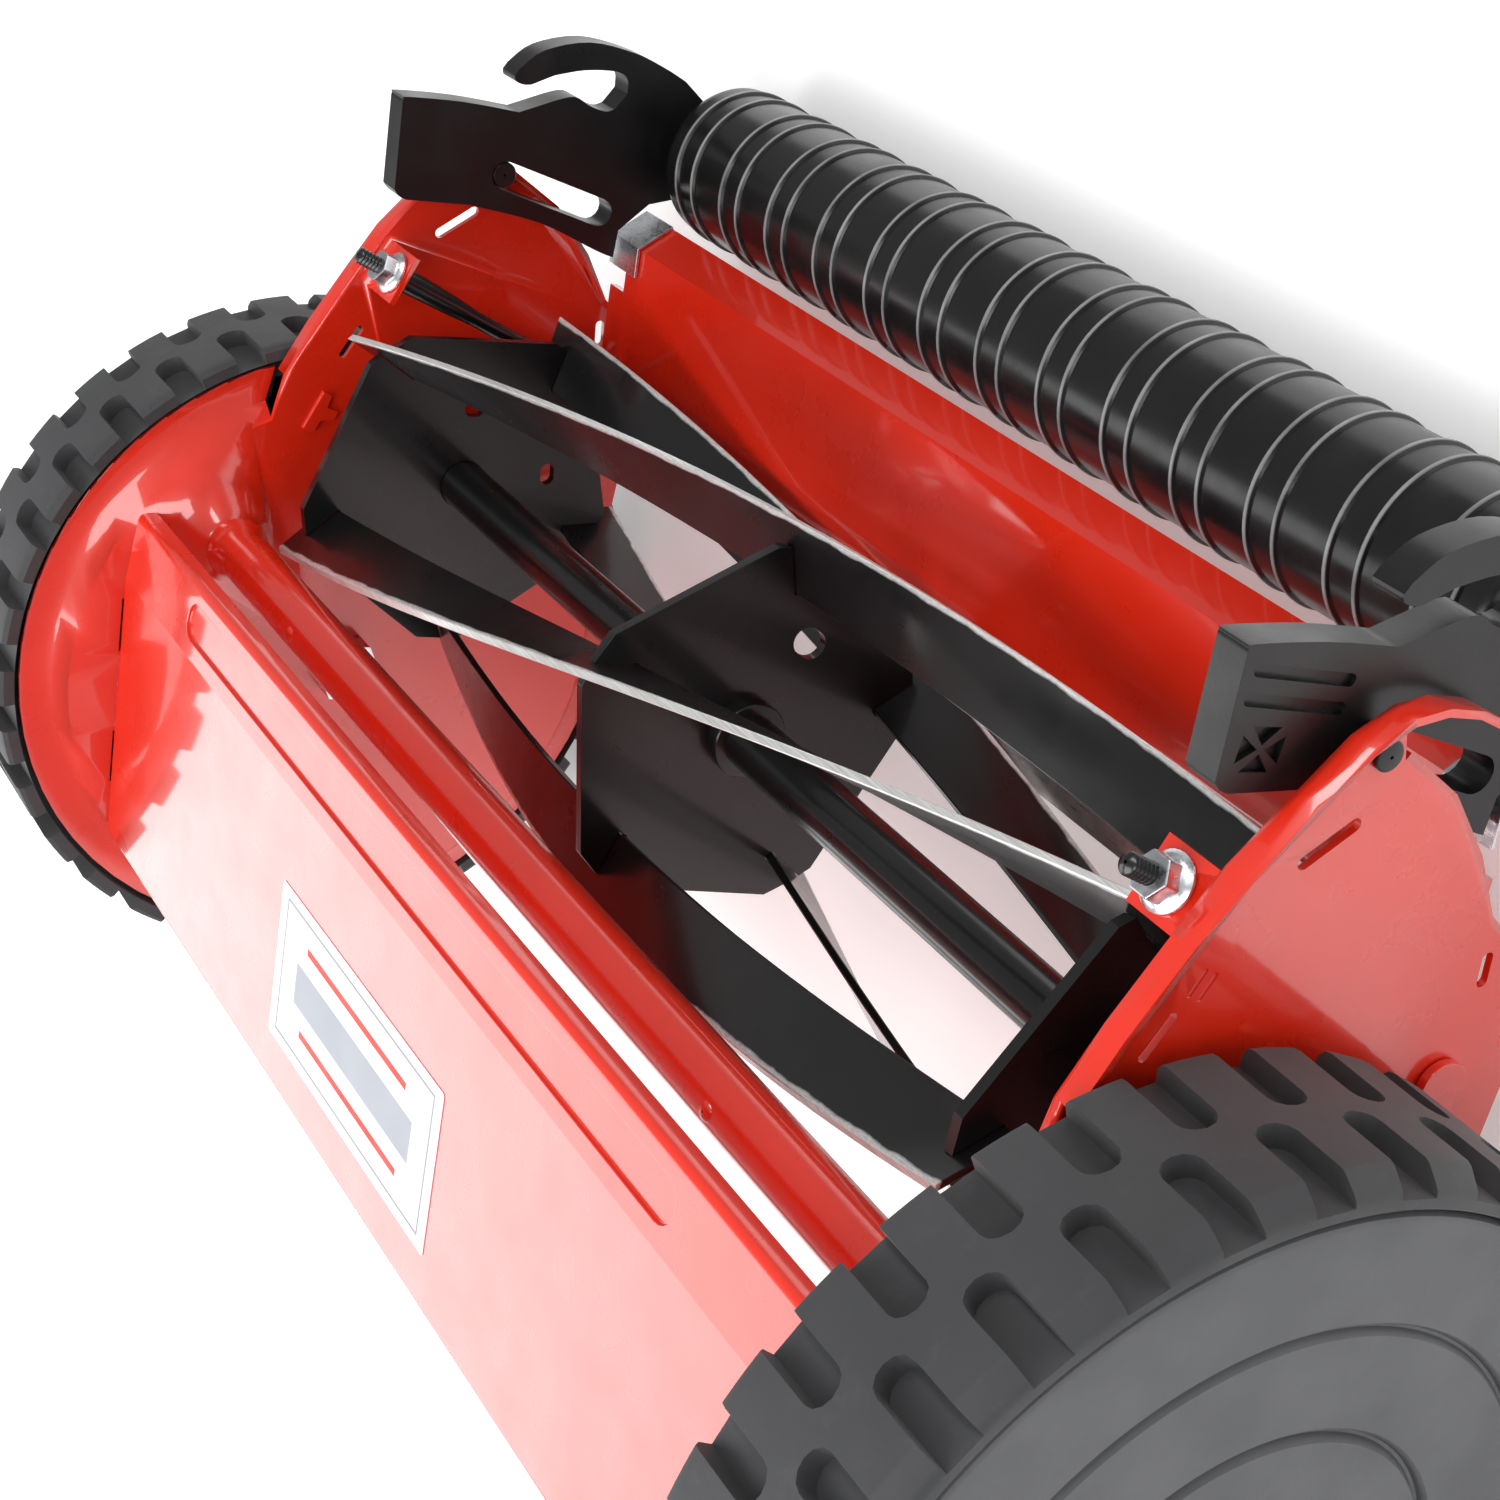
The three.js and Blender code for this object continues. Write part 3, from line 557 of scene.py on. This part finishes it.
class MOWER_OT_tyres(bpy.types.Operator):
    """Model the tyres with their two staggered rows of tread notches"""

    bl_idname = "mower.tyres"
    bl_label = "Tyres"

    def execute(self, context):
        s = context.scene.mower_sizes
        inner, outer = 0.2156, 0.2626
        profile = [
            (0.1058, inner + 0.0004),
            (0.1092, inner + 0.0004),
            (0.1106, inner + 0.0014),
            (0.1110, inner + 0.0032),
            (0.1110, inner + 0.012),
            (0.1110, inner + 0.0235),
            (0.1110, outer - 0.012),
            (0.1110, outer - 0.0062),
            (0.1106, outer - 0.0050),
            (0.1080, outer - 0.0016),
            (0.1071, outer - 0.0007),
            (0.1058, outer - 0.0003),
            (0.1036, outer - 0.0003),
            (0.1029, outer - 0.0012),
            (0.1029, 0.2219),
            (0.1058, 0.2219),
        ]
        tyre = spun("right_tyre_rubber", WHEEL, profile, steps=s.tread_blocks * 6)
        half = s.notch_width / 2
        floor_radius = 0.111 - s.tread_depth
        cutters = []
        for row, (start, end, shift) in enumerate(((0.206, 0.2372 - half, 47.7), (0.2402 + half, 0.272, 42.1))):
            closed = end if row == 0 else start
            opened = start if row == 0 else end
            way = 1 if row == 0 else -1
            steps = 6
            outline = [(opened, -half), (opened, half)]
            for i in range(steps + 1):
                angle = math.radians(90 - 180 * i / steps)
                outline.append((closed + way * half * math.cos(angle) * 0.8, half * math.sin(angle)))
            for i in range(s.tread_blocks):
                turn = math.radians(shift + 360 * i / s.tread_blocks)
                radial = Vector((0, math.cos(turn), math.sin(turn)))
                round_ = Vector((0, -math.sin(turn), math.cos(turn)))
                centre = Vector((0, *WHEEL))
                base = [centre + radial * floor_radius + round_ * w + Vector((x, 0, 0)) for x, w in outline]
                cutter = ring_of("notch", base)
                edit(cutter)
                bpy.ops.mesh.edge_face_add()
                bpy.ops.mesh.extrude_region_move(TRANSFORM_OT_translate={"value": tuple(radial * 0.012)})
                bpy.ops.transform.resize(value=(1.06, 1.06, 1.06), center_override=tuple(base[0].lerp(base[1], 0.5)))
                cutters.append(cutter)
        tool = tidy_mesh(joined("notches", cutters))
        combine(tyre, tool)
        tidy_mesh(tyre, 2e-5)
        soften(tyre, 0.0006, angle=38, smooth=30)
        both_sides("tyre_rubber", tyre, "*_wheel", FINISHES["rubber"], "tyre_rubber", "*_tyre")
        return {"FINISHED"}


class MOWER_OT_wheel_discs(bpy.types.Operator):
    """Model the wheel discs with their turned grooves and the gear ring inside"""

    bl_idname = "mower.wheel_discs"
    bl_label = "Wheel discs"

    def execute(self, context):
        face = 0.2618
        profile = [(0.0012, face - 0.004), (0.0012, face - 0.0006)]

        def groove(radius, half, depth):
            return [
                (radius - half * 1.7, face),
                (radius - half, face - depth * 0.45),
                (radius - half * 0.4, face - depth),
                (radius + half * 0.4, face - depth),
                (radius + half, face - depth * 0.45),
                (radius + half * 1.7, face),
            ]

        profile += [(0.012, face - 0.0004), (0.0186, face)]
        profile += groove(0.0270, 0.0009, 0.0016)
        profile += groove(0.0516, 0.0010, 0.0018)
        profile += groove(0.0762, 0.0009, 0.0016)
        profile += [
            (0.1002, face),
            (0.1014, face - 0.0004),
            (0.1020, face - 0.0014),
            (0.1023, face - 0.003),
            (0.1023, 0.2226),
            (0.1019, 0.2223),
            (0.0984, 0.2223),
            (0.0984, face - 0.006),
            (0.0012, face - 0.006),
        ]
        disc = spun("right_wheel_disc", WHEEL, profile, steps=128)
        teeth, tip, root = 63, 0.0945 - 0.00225, 0.0945 + 0.0036
        points = []
        for i in range(teeth * 4):
            low = i % 4 in (1, 2)
            turn = -12.8 + (i / 4 - 0.125) * 360 / teeth
            y, z = polar(WHEEL, tip if low else root, turn)
            points.append((0.2224, y, z))
        ring = ring_of("gear_ring", points)
        edit(ring)
        bpy.ops.mesh.extrude_edges_move(TRANSFORM_OT_translate={"value": (0, 0, 0)})
        bpy.ops.object.mode_set(mode="OBJECT")
        count = len(points)
        for i in range(count, 2 * count):
            vertex = ring.data.vertices[i]
            out = Vector((0, vertex.co.y - WHEEL[0], vertex.co.z - WHEEL[1])).normalized()
            vertex.co = Vector((0.2224, WHEEL[0], WHEEL[1])) + out * 0.0990
        edit(ring)
        bpy.ops.mesh.extrude_region_move(TRANSFORM_OT_translate={"value": (0.0168, 0, 0)})
        ring = tidy_mesh(ring)
        whole = joined("right_wheel_disc", [disc, ring])
        soften(whole, 0, smooth=32)
        both_sides(
            "wheel_disc", whole, "*_wheel", FINISHES["wheel"], "wheel_plastic", "*_wheel_hub", "*_wheel_cap"
        )
        return {"FINISHED"}


class MOWER_OT_side_plates(bpy.types.Operator):
    """Model the pressed side plates with their rim, flange, slots and stampings"""

    bl_idname = "mower.side_plates"
    bl_label = "Side plates"

    def execute(self, context):
        s = context.scene.mower_sizes
        plate = from_cad("right_plate", "right_side_plate", whole_faces=False)
        for start, end in (((0.1180, 0.1215), (0.1232, 0.1193)), ((0.1190, 0.1245), (0.1242, 0.1223))):
            mark = capsule(
                "mark",
                (AXLE_Y + start[0], start[1]),
                (AXLE_Y + end[0], end[1]),
                0.0006,
                PLATE_OUTER - 0.0007,
                PLATE_OUTER + 0.001,
            )
            combine(plate, mark)
        soften(plate, 0, smooth=32)
        both_sides("plate", plate, "chassis", FINISHES["paint"], "red_paint", "*_side_plate")
        # Lanced tongue and dimple pressed inwards beside the reel
        tongue = prism(
            "tongue",
            [
                (AXLE_Y + 0.0805, 0.1400),
                (AXLE_Y + 0.0930, 0.1352),
                (AXLE_Y + 0.0920, 0.1322),
                (AXLE_Y + 0.0880, 0.1330),
                (AXLE_Y + 0.0870, 0.1290),
                (AXLE_Y + 0.0840, 0.1300),
                (AXLE_Y + 0.0835, 0.1345),
                (AXLE_Y + 0.0795, 0.1362),
            ],
            PLATE_INNER - 0.0012,
            PLATE_INNER + 0.0004,
        )
        soften(tongue, 0.0003)
        both_sides("plate_tongue", tongue, "chassis", FINISHES["paint"], "red_paint")
        dimple = spun(
            "dimple",
            (AXLE_Y + 0.074, 0.1262),
            [
                (0.0006, PLATE_INNER + 0.0006),
                (0.0006, PLATE_INNER - 0.0014),
                (0.0022, PLATE_INNER - 0.0012),
                (0.0036, PLATE_INNER - 0.0002),
                (0.0040, PLATE_INNER + 0.0006),
            ],
            steps=24,
        )
        soften(dimple, 0, smooth=60)
        both_sides("plate_dimple", dimple, "chassis", FINISHES["paint"], "red_paint")
        return {"FINISHED"}


def rounded_section(line, thickness, radius, steps=5):
    """The closed outline of a sheet folded along a line, with rounded bends; the sheet lies below it."""
    bends = []
    for i, (y, z) in enumerate(line):
        here = Vector((y, z))
        if i in (0, len(line) - 1):
            bends.append([here])
            continue
        before = (Vector(line[i - 1]) - here).normalized()
        after = (Vector(line[i + 1]) - here).normalized()
        half = math.acos(max(-1, min(1, before.dot(after)))) / 2
        back = min(radius / math.tan(half), 0.45 * (Vector(line[i - 1]) - here).length)
        first, last = here + before * back, here + after * back
        bends.append([first.lerp(here, t).lerp(here.lerp(last, t), t) for t in (k / steps for k in range(steps + 1))])
    outer = [p for bend in bends for p in bend]
    inner = []
    for i, p in enumerate(outer):
        a, b = outer[max(i - 1, 0)], outer[min(i + 1, len(outer) - 1)]
        along = (b - a).normalized()
        inner.append(p + Vector((along.y, -along.x)) * thickness)
    return [tuple(p) for p in outer] + [tuple(p) for p in reversed(inner)]


class MOWER_OT_cover(bpy.types.Operator):
    """Model the folded front cover with its pressed channel and its label"""

    bl_idname = "mower.cover"
    bl_label = "Front cover"

    def execute(self, context):
        s = context.scene.mower_sizes
        reach = PLATE_INNER - 0.0003
        cover = prism("cover_sheet", rounded_section(COVER_LINE, 0.0015, 0.003), -reach, reach)
        # A channel with round ends, pressed into the face behind the broad one
        (y1, z1), (y2, z2) = COVER_LINE[2], COVER_LINE[3]
        along = Vector((0, y2 - y1, z2 - z1)).normalized()
        up = Vector((0, -along.z, along.y))
        middle = Vector((0, AXLE_Y + 0.0375, z1 + (z2 - z1) * (0.0375 - 0.027) / 0.022))
        half, arc = 0.0055, 10
        outline = []
        for way in (1, -1):
            for i in range(arc + 1):
                angle = math.radians(-90 + 180 * i / arc)
                x = way * (0.1488 + half * math.cos(angle))
                outline.append(middle + Vector((x, 0, 0)) + along * (way * half * math.sin(angle)))
        channel = ring_of("channel", [p - up * 0.0011 for p in outline])
        edit(channel)
        bpy.ops.mesh.edge_face_add()
        bpy.ops.mesh.extrude_region_move(TRANSFORM_OT_translate={"value": tuple(up * 0.004)})
        combine(cover, tidy_mesh(channel))
        soften(cover, s.edge_softness, angle=30, segments=3, smooth=28)
        placed(cover, "chassis", FINISHES["paint"], "red_paint", "front_cover")
        # Label film on the broad face
        y0, half_x, half_y = LABEL_CENTRE[1], s.label_length / 2, s.label_width / 2
        corner, steps = 0.0012, 4
        outline = []
        for qx, qy, first in ((1, 1, 0), (-1, 1, 90), (-1, -1, 180), (1, -1, 270)):
            for i in range(steps + 1):
                angle = math.radians(first + 90 * i / steps)
                x = LABEL_CENTRE[0] + qx * (half_x - corner) + corner * math.cos(angle)
                y = y0 + qy * (half_y - corner) + corner * math.sin(angle)
                outline.append((x, y, cover_height(y) + 0.00003))
        label = ring_of("cover_label", outline)
        edit(label)
        bpy.ops.mesh.edge_face_add()
        bpy.ops.mesh.extrude_region_move(TRANSFORM_OT_translate={"value": (0, -0.000016, 0.00018)})
        tidy_mesh(label)
        soften(label, 0.00005, smooth=30)
        placed(label, "chassis", FINISHES["label"], "red_paint")
        return {"FINISHED"}


class MOWER_OT_tie_tube(bpy.types.Operator):
    """Model the tie tube, its end bolts and its rivets"""

    bl_idname = "mower.tie_tube"
    bl_label = "Tie tube"

    def execute(self, context):
        end, radius = 0.1957, 0.0082
        half = [
            (0.0035, end),
            (radius + 0.0016, end),
            (radius + 0.0019, end - 0.001),
            (radius + 0.0012, end - 0.004),
            (radius, end - 0.008),
        ]
        profile = half + [(r, -x) for r, x in reversed(half)]
        tube = spun("tie_tube_steel", TUBE, profile, steps=56)
        soften(tube, 0, smooth=40)
        placed(tube, "chassis", FINISHES["paint"], "red_paint", "tie_tube")
        head = from_cad("right_tie_bolt_steel", "right_tie_bolt")
        soften(head, 0.0003)
        both_sides("tie_bolt_steel", head, "chassis", FINISHES["zinc"], "zinc_plate", "*_tie_bolt")
        for x in (-0.128, 0.128):
            rivet = spun(
                "tube_rivet",
                (0.0, 0.0),
                [(0.0004, 0.0), (0.0004, 0.0011), (0.0012, 0.0010), (0.0020, 0.0006), (0.0024, 0.0)],
                steps=20,
            )
            edit(rivet)
            bpy.ops.transform.rotate(value=math.radians(90), orient_axis="Y", center_override=(0, 0, 0))
            bpy.ops.mesh.normals_make_consistent(inside=False)
            bpy.ops.object.mode_set(mode="OBJECT")
            top = max(v.co.z for v in rivet.data.vertices)
            lift = TUBE[1] + radius - 0.0002 if top > 0.0005 else TUBE[1] + radius + 0.0009
            edit(rivet)
            bpy.ops.transform.translate(value=(x, TUBE[0], lift))
            bpy.ops.object.mode_set(mode="OBJECT")
            soften(rivet, 0, smooth=60)
            rivet.name = rivet.data.name = ("left" if x < 0 else "right") + "_tube_rivet"
            placed(rivet, "chassis", FINISHES["paint"], "red_paint")
        return {"FINISHED"}


class MOWER_OT_reel(bpy.types.Operator):
    """Model the reel: shaft, three spiders and five twisted blades"""

    bl_idname = "mower.reel"
    bl_label = "Reel"

    def execute(self, context):
        for i in range(1, 6):
            blade = from_cad(f"blade_{i}_steel", f"blade_{i}")
            soften(blade, 0.0003, angle=40, segments=1, smooth=30)
            placed(blade, "reel", FINISHES["blade"], "black_paint", f"blade_{i}")
        for name in ("middle_spider", "right_spider", "left_spider"):
            spider = from_cad(name + "_steel", name)
            soften(spider, 0.0004, angle=30, smooth=30)
            placed(spider, "reel", FINISHES["enamel"], "black_paint", name)
        shoulder, end = 0.202, 0.2378
        half = [
            (0.0064, end),
            (0.0065, end - 0.0004),
            (0.0065, shoulder),
            (0.0072, shoulder),
            (0.0076, shoulder - 0.0005),
            (0.0076, 0.1866),
            (0.0112, 0.1866),
            (0.0116, 0.1862),
            (0.0116, 0.1848),
            (0.0076, 0.1846),
            (0.0076, 0.0062),
            (0.0104, 0.0060),
            (0.0108, 0.0055),
            (0.0108, 0.0022),
        ]
        profile = [(0.0009, end)] + half + [(r, -x) for r, x in reversed(half)] + [(0.0009, -end)]
        shaft = spun("reel_shaft_steel", REEL, profile, steps=48)
        soften(shaft, 0, smooth=40)
        placed(shaft, "reel", FINISHES["enamel"], "black_paint", "reel_shaft")
        return {"FINISHED"}


class MOWER_OT_bedknife(bpy.types.Operator):
    """Model the bedknife, its carrier bar, end clips and pivots"""

    bl_idname = "mower.bedknife"
    bl_label = "Bedknife and bar"

    def execute(self, context):
        s = context.scene.mower_sizes
        bar = from_cad("bedknife_bar_steel", "bedknife_bar", whole_faces=False)
        soften(bar, 0, smooth=30)
        placed(bar, "knife_carrier", FINISHES["paint"], "red_paint", "bedknife_bar")
        knife = from_cad("bedknife_steel", "bedknife")
        soften(knife, 0.0002)
        placed(knife, "knife_carrier", FINISHES["steel"], "bare_steel", "bedknife")
        clip = from_cad("right_clip", "right_bar_clip")
        soften(clip, 0.0002, segments=2)
        both_sides("clip_steel", clip, "knife_carrier", FINISHES["zinc"], "zinc_plate", "*_bar_clip")
        pivot = from_cad("right_pivot", "right_bar_pivot")
        soften(pivot, 0.0003)
        both_sides("pivot_steel", pivot, "chassis", FINISHES["paint"], "red_paint", "*_bar_pivot")
        return {"FINISHED"}


class MOWER_OT_adjusters(bpy.types.Operator):
    """Model the threaded adjuster rods, their sleeves and their flanged nuts"""

    bl_idname = "mower.adjusters"
    bl_label = "Adjusters"

    def execute(self, context):
        low, top = Vector((0.1958, *LEVER_HOLE)), Vector((0.1958, *ADJUSTER_TOP))
        along = (top - low).normalized()
        tilt = math.atan2(along.z, along.y)
        length = (top - low).length + 0.009

        def stand(obj, foot):
            """Turns a piece modelled up the X axis to stand along the rod from foot."""
            edit(obj)
            bpy.ops.object.mode_set(mode="OBJECT")
            side = Vector((1, 0, 0))
            turn = Matrix((along, side, along.cross(side))).transposed().to_4x4()
            obj.data.transform(Matrix.Translation(foot) @ turn)
            return tidy_mesh(obj)

        # Rod: a plain shank, a tapered sleeve below the lug and a screw thread through it
        profile = [(0.0004, 0.0), (0.0026, 0.0), (0.0026, length - 0.046)]
        profile += [(0.0032, length - 0.038), (0.0039, length - 0.0215), (0.0039, length - 0.0175)]
        profile += [(0.0026, length - 0.0172)]
        pitch, crest, root = 0.00125, 0.0026, 0.0021
        turns = int(0.0165 / pitch)
        for i in range(turns):
            at = length - 0.0168 + i * pitch
            profile += [(root, at), (crest, at + pitch * 0.45), (crest, at + pitch * 0.55)]
        profile += [(root, length - 0.0004), (0.0004, length)]
        rod = stand(spun("rod", (0, 0), profile, steps=24), low)
        hook = spun(
            "hook",
            LEVER_HOLE,
            [(0.0004, 0.1934), (0.0024, 0.1934), (0.0026, 0.1938), (0.0026, 0.2046), (0.0022, 0.205), (0.0004, 0.205)],
            steps=24,
        )
        rod = joined("rod", [rod, hook])
        soften(rod, 0, smooth=50)
        both_sides("rod_steel", rod, "*_adjuster", FINISHES["enamel"], "black_paint", "*_adjuster_rod")
        # Nut: a hexagon with a chamfered top over a round flange
        corners = [polar((0, 0), 0.0053, 60 * i) for i in range(6)]
        hexagon = soften(prism("hexagon", corners, 0.0012, 0.0062), 0.0006, angle=40, segments=2)
        flange = spun(
            "flange",
            (0, 0),
            [(0.0004, 0.0), (0.0066, 0.0), (0.0067, 0.0008), (0.0060, 0.0014), (0.0047, 0.0023), (0.0004, 0.0023)],
            steps=32,
        )
        nut = joined("nut", [hexagon, flange])
        foot = top - along * (0.005 - 0.0003)
        stand(nut, foot)
        soften(nut, 0, smooth=35)
        both_sides("nut_steel", nut, "*_nut", FINISHES["zinc"], "zinc_plate", "*_adjuster_nut")
        return {"FINISHED"}


class MOWER_OT_roller(bpy.types.Operator):
    """Model the ribbed roller and its axle"""

    bl_idname = "mower.roller"
    bl_label = "Roller"

    def execute(self, context):
        s = context.scene.mower_sizes
        body, rib, reach = 0.0248 - s.roller_rib, 0.0248, 0.1897
        right = [(0.0054, reach), (0.0150, reach), (0.0162, reach - 0.0006), (0.0168, reach - 0.003)]
        right += [(0.0196, reach - 0.0034), (0.0232, reach - 0.0078), (0.0240, reach - 0.0098), (body, reach - 0.0110)]
        ridges = []
        unit, count = 0.028, 6
        for i in range(-count, count + 1):
            for shift in (-0.005, 0.005):
                at = i * unit + shift
                if abs(at) < reach - 0.014:
                    ridges.append(at)
        middle = []
        for at in sorted(ridges, reverse=True):
            middle += [(body, at + 0.0022), (body, at + 0.0012), (rib - 0.0001, at + 0.0005), (rib, at)]
            middle += [(rib - 0.0001, at - 0.0005), (body, at - 0.0012), (body, at - 0.0022)]
        profile = right + middle + [(r, -x) for r, x in reversed(right)]
        roller = spun("roller_tube", ROLLER, profile, steps=80)
        soften(roller, 0, smooth=30)
        placed(roller, "roller", FINISHES["roller"], "roller_plastic", "roller")
        axle = from_cad("roller_axle_steel", "roller_axle")
        soften(axle, 0.0003)
        placed(axle, "roller_carriage", FINISHES["steel"], "bare_steel", "roller_axle")
        return {"FINISHED"}


class MOWER_OT_brackets(bpy.types.Operator):
    """Model the moulded roller brackets with their ribs, and the studs that hold them"""

    bl_idname = "mower.brackets"
    bl_label = "Roller brackets"

    def execute(self, context):
        outer, inner = 0.2039, 0.1949
        runs = [
            [(0.1620, 0.1307), (0.1602, 0.1287), (0.1595, 0.1262)],
            [(0.1604, 0.1053), (0.1577, 0.0801), (0.1513, 0.0587), (0.1496, 0.0515)],
            [(0.1585, 0.0518), (0.1680, 0.0430)],
            [tuple(Vector(polar((0.1877, 0.0248), 0.0135, -172 + 189 * i / 12))) for i in range(13)],
            [(0.2080, 0.0400), (0.2110, 0.0483), (0.2140, 0.0600), (0.2149, 0.0762), (0.2103, 0.0908), (0.2036, 0.0979)],
            [(0.2014, 0.0990), (0.1998, 0.0983), (0.1991, 0.0955), (0.1995, 0.0928)],
            [(0.2033, 0.0858), (0.2063, 0.0760), (0.2075, 0.0655), (0.2060, 0.0608), (0.2014, 0.0596)],
            [(0.1962, 0.0627), (0.1949, 0.0659), (0.1959, 0.0715), (0.1979, 0.0774), (0.1958, 0.0839)],
            [(0.1907, 0.0950), (0.1912, 0.1138), (0.1902, 0.1320), (0.1892, 0.1335), (0.1875, 0.1335)],
        ]
        outline = []
        for run in runs:
            ends = [run[0], *run, run[-1]]
            for k in range(1, len(ends) - 2):
                p0, p1, p2, p3 = (Vector(ends[k + j]) for j in (-1, 0, 1, 2))
                for t in (0, 0.25, 0.5, 0.75) if len(run) < 10 else (0,):
                    bend = (p2 - p0) * t + (2 * p0 - 5 * p1 + 4 * p2 - p3) * t**2 + (3 * p1 - p0 - 3 * p2 + p3) * t**3
                    outline.append(tuple(p1 + bend / 2))
            outline.append(run[-1])
        bracket = prism("bracket", [(AXLE_Y + y, z) for y, z in outline], inner, outer)
        slot_tool = capsule("slot", (AXLE_Y + 0.1709, 0.0952), (AXLE_Y + 0.1634, 0.0600), 0.0044, inner - 0.001, outer + 0.001)
        combine(bracket, slot_tool)
        combine(bracket, capsule("bore", ROLLER, (ROLLER[0], ROLLER[1] + 0.00001), 0.0053, inner - 0.001, outer + 0.001))
        # Two lengthwise grooves, and four triangular pockets that leave a cross of ribs, in the outer face
        for y0, y1 in ((0.1775, 0.1790), (0.1835, 0.1850)):
            tool = capsule(
                "groove", (AXLE_Y + y0, 0.1050), (AXLE_Y + y1, 0.1290), 0.0014, outer - 0.0014, outer + 0.002
            )
            combine(bracket, tool)
        left, right, low, high = AXLE_Y + 0.1640, AXLE_Y + 0.1735, 0.1165, 0.1275
        cy, cz = (left + right) / 2, (low + high) / 2
        gap = 0.0009
        pockets = [
            [(left + gap * 2, high), (right - gap * 2, high), (cy, cz + gap)],
            [(left + gap * 2, low), (cy, cz - gap), (right - gap * 2, low)],
            [(left, low + gap * 2), (cy - gap, cz), (left, high - gap * 2)],
            [(right, low + gap * 2), (right, high - gap * 2), (cy + gap, cz)],
        ]
        for outline in pockets:
            combine(bracket, prism("pocket", outline, outer - 0.0016, outer + 0.002))
        soften(bracket, 0.0007, angle=32, segments=2, smooth=32)
        both_sides(
            "bracket_nylon", bracket, "roller_carriage", FINISHES["bracket"], "bracket_plastic", "*_roller_bracket"
        )
        centre = (AXLE_Y + 0.1709, 0.0952)
        profile = [(0.0004, 0.1951), (0.0036, 0.1951), (0.0040, 0.1956), (0.0040, 0.2046), (0.0037, 0.2077)]
        profile += [(0.0030, 0.2077), (0.0030, 0.2099), (0.0034, 0.2101), (0.0034, 0.2110), (0.0028, 0.2114), (0.0004, 0.2115)]
        stud = spun("stud", centre, profile, steps=28)
        soften(stud, 0)
        both_sides("stud_nylon", stud, "chassis", FINISHES["bracket"], "bracket_plastic", "*_height_stud")
        return {"FINISHED"}


class MOWER_OT_stage(bpy.types.Operator):
    """Set the floor, the soft lights, the surroundings and the camera"""

    bl_idname = "mower.stage"
    bl_label = "Stage"

    def execute(self, context):
        clear()
        bpy.ops.mesh.primitive_plane_add(size=14, location=(0, 0, -0.0002))
        floor = context.object
        bpy.ops.object.transform_apply(location=True, rotation=True, scale=True)
        floor.name = "floor"
        floor.data.materials.append(FINISHES["floor"])
        for name, place, aim, size, power in (
            ("overhead_softbox", (0.25, -0.55, 1.7), (0, 0, 0.05), (1.5, 1.1), 26),
            ("cover_softbox", (-1.3, -1.0, 0.98), (0, -0.05, 0.15), (1.15, 1.4), 11),
            ("rear_softbox", (0.2, 1.5, 1.2), (0.1, 0.1, 0.05), (1.4, 0.35), 11),
            ("viewer_softbox", (1.5, 0.35, 1.5), (0, 0, 0.05), (0.7, 0.7), 8),
        ):
            lamp = bpy.data.lights.new(name, "AREA")
            lamp.shape = "RECTANGLE"
            lamp.size, lamp.size_y = size
            lamp.energy = power
            obj = bpy.data.objects.new(name, lamp)
            context.scene.collection.objects.link(obj)
            obj.location = place
            obj.rotation_euler = (Vector(aim) - Vector(place)).to_track_quat("-Z", "Y").to_euler()
        world = bpy.data.worlds.new("studio")
        world.use_nodes = True
        world.node_tree.nodes["Background"].inputs["Color"].default_value = (1, 1, 1, 1)
        world.node_tree.nodes["Background"].inputs["Strength"].default_value = 0.32
        context.scene.world = world
        camera_data = bpy.data.cameras.new("camera")
        camera_data.lens, camera_data.sensor_width, camera_data.clip_start = 62.86, 36, 0.01
        camera = bpy.data.objects.new("camera", camera_data)
        context.scene.collection.objects.link(camera)
        right, up, back = (0.4871, 0.2420, -0.8392), (-0.4391, 0.8984, 0.0042), (0.7549, 0.3664, 0.5439)
        turn = Matrix((right, up, back)).transposed().to_4x4()
        camera.matrix_world = Matrix.Translation((0.5286, 0.27385, 0.4700)) @ turn
        context.scene.camera = camera
        context.scene.view_settings.view_transform = "Standard"
        return {"FINISHED"}


OPERATORS = (
    MOWER_OT_finishes,
    MOWER_OT_frame_nodes,
    MOWER_OT_tyres,
    MOWER_OT_wheel_discs,
    MOWER_OT_side_plates,
    MOWER_OT_cover,
    MOWER_OT_tie_tube,
    MOWER_OT_reel,
    MOWER_OT_bedknife,
    MOWER_OT_adjusters,
    MOWER_OT_roller,
    MOWER_OT_brackets,
    MOWER_OT_stage,
)


class MOWER_PT_panel(bpy.types.Panel):
    """Sizes, colours and makers of the mower's pieces"""

    bl_idname = "MOWER_PT_panel"
    bl_label = "Reel mower"
    bl_space_type = "VIEW_3D"
    bl_region_type = "UI"
    bl_category = "Mower"

    def draw(self, context):
        for group in (context.scene.mower_sizes, context.scene.mower_colours):
            for key in group.__annotations__:
                self.layout.prop(group, key)
        for operator in OPERATORS:
            self.layout.operator(operator.bl_idname)


def register():
    for group in (MowerSizes, MowerColours, *OPERATORS, MOWER_PT_panel):
        bpy.utils.register_class(group)
    bpy.types.Scene.mower_sizes = bpy.props.PointerProperty(type=MowerSizes)
    bpy.types.Scene.mower_colours = bpy.props.PointerProperty(type=MowerColours)


def unregister():
    del bpy.types.Scene.mower_sizes
    del bpy.types.Scene.mower_colours
    for group in reversed((MowerSizes, MowerColours, *OPERATORS, MOWER_PT_panel)):
        bpy.utils.unregister_class(group)


def main():
    register()
    for operator in OPERATORS:
        getattr(bpy.ops.mower, operator.bl_idname.split(".")[1])()
    clear()


if __name__ == "__main__":
    main()
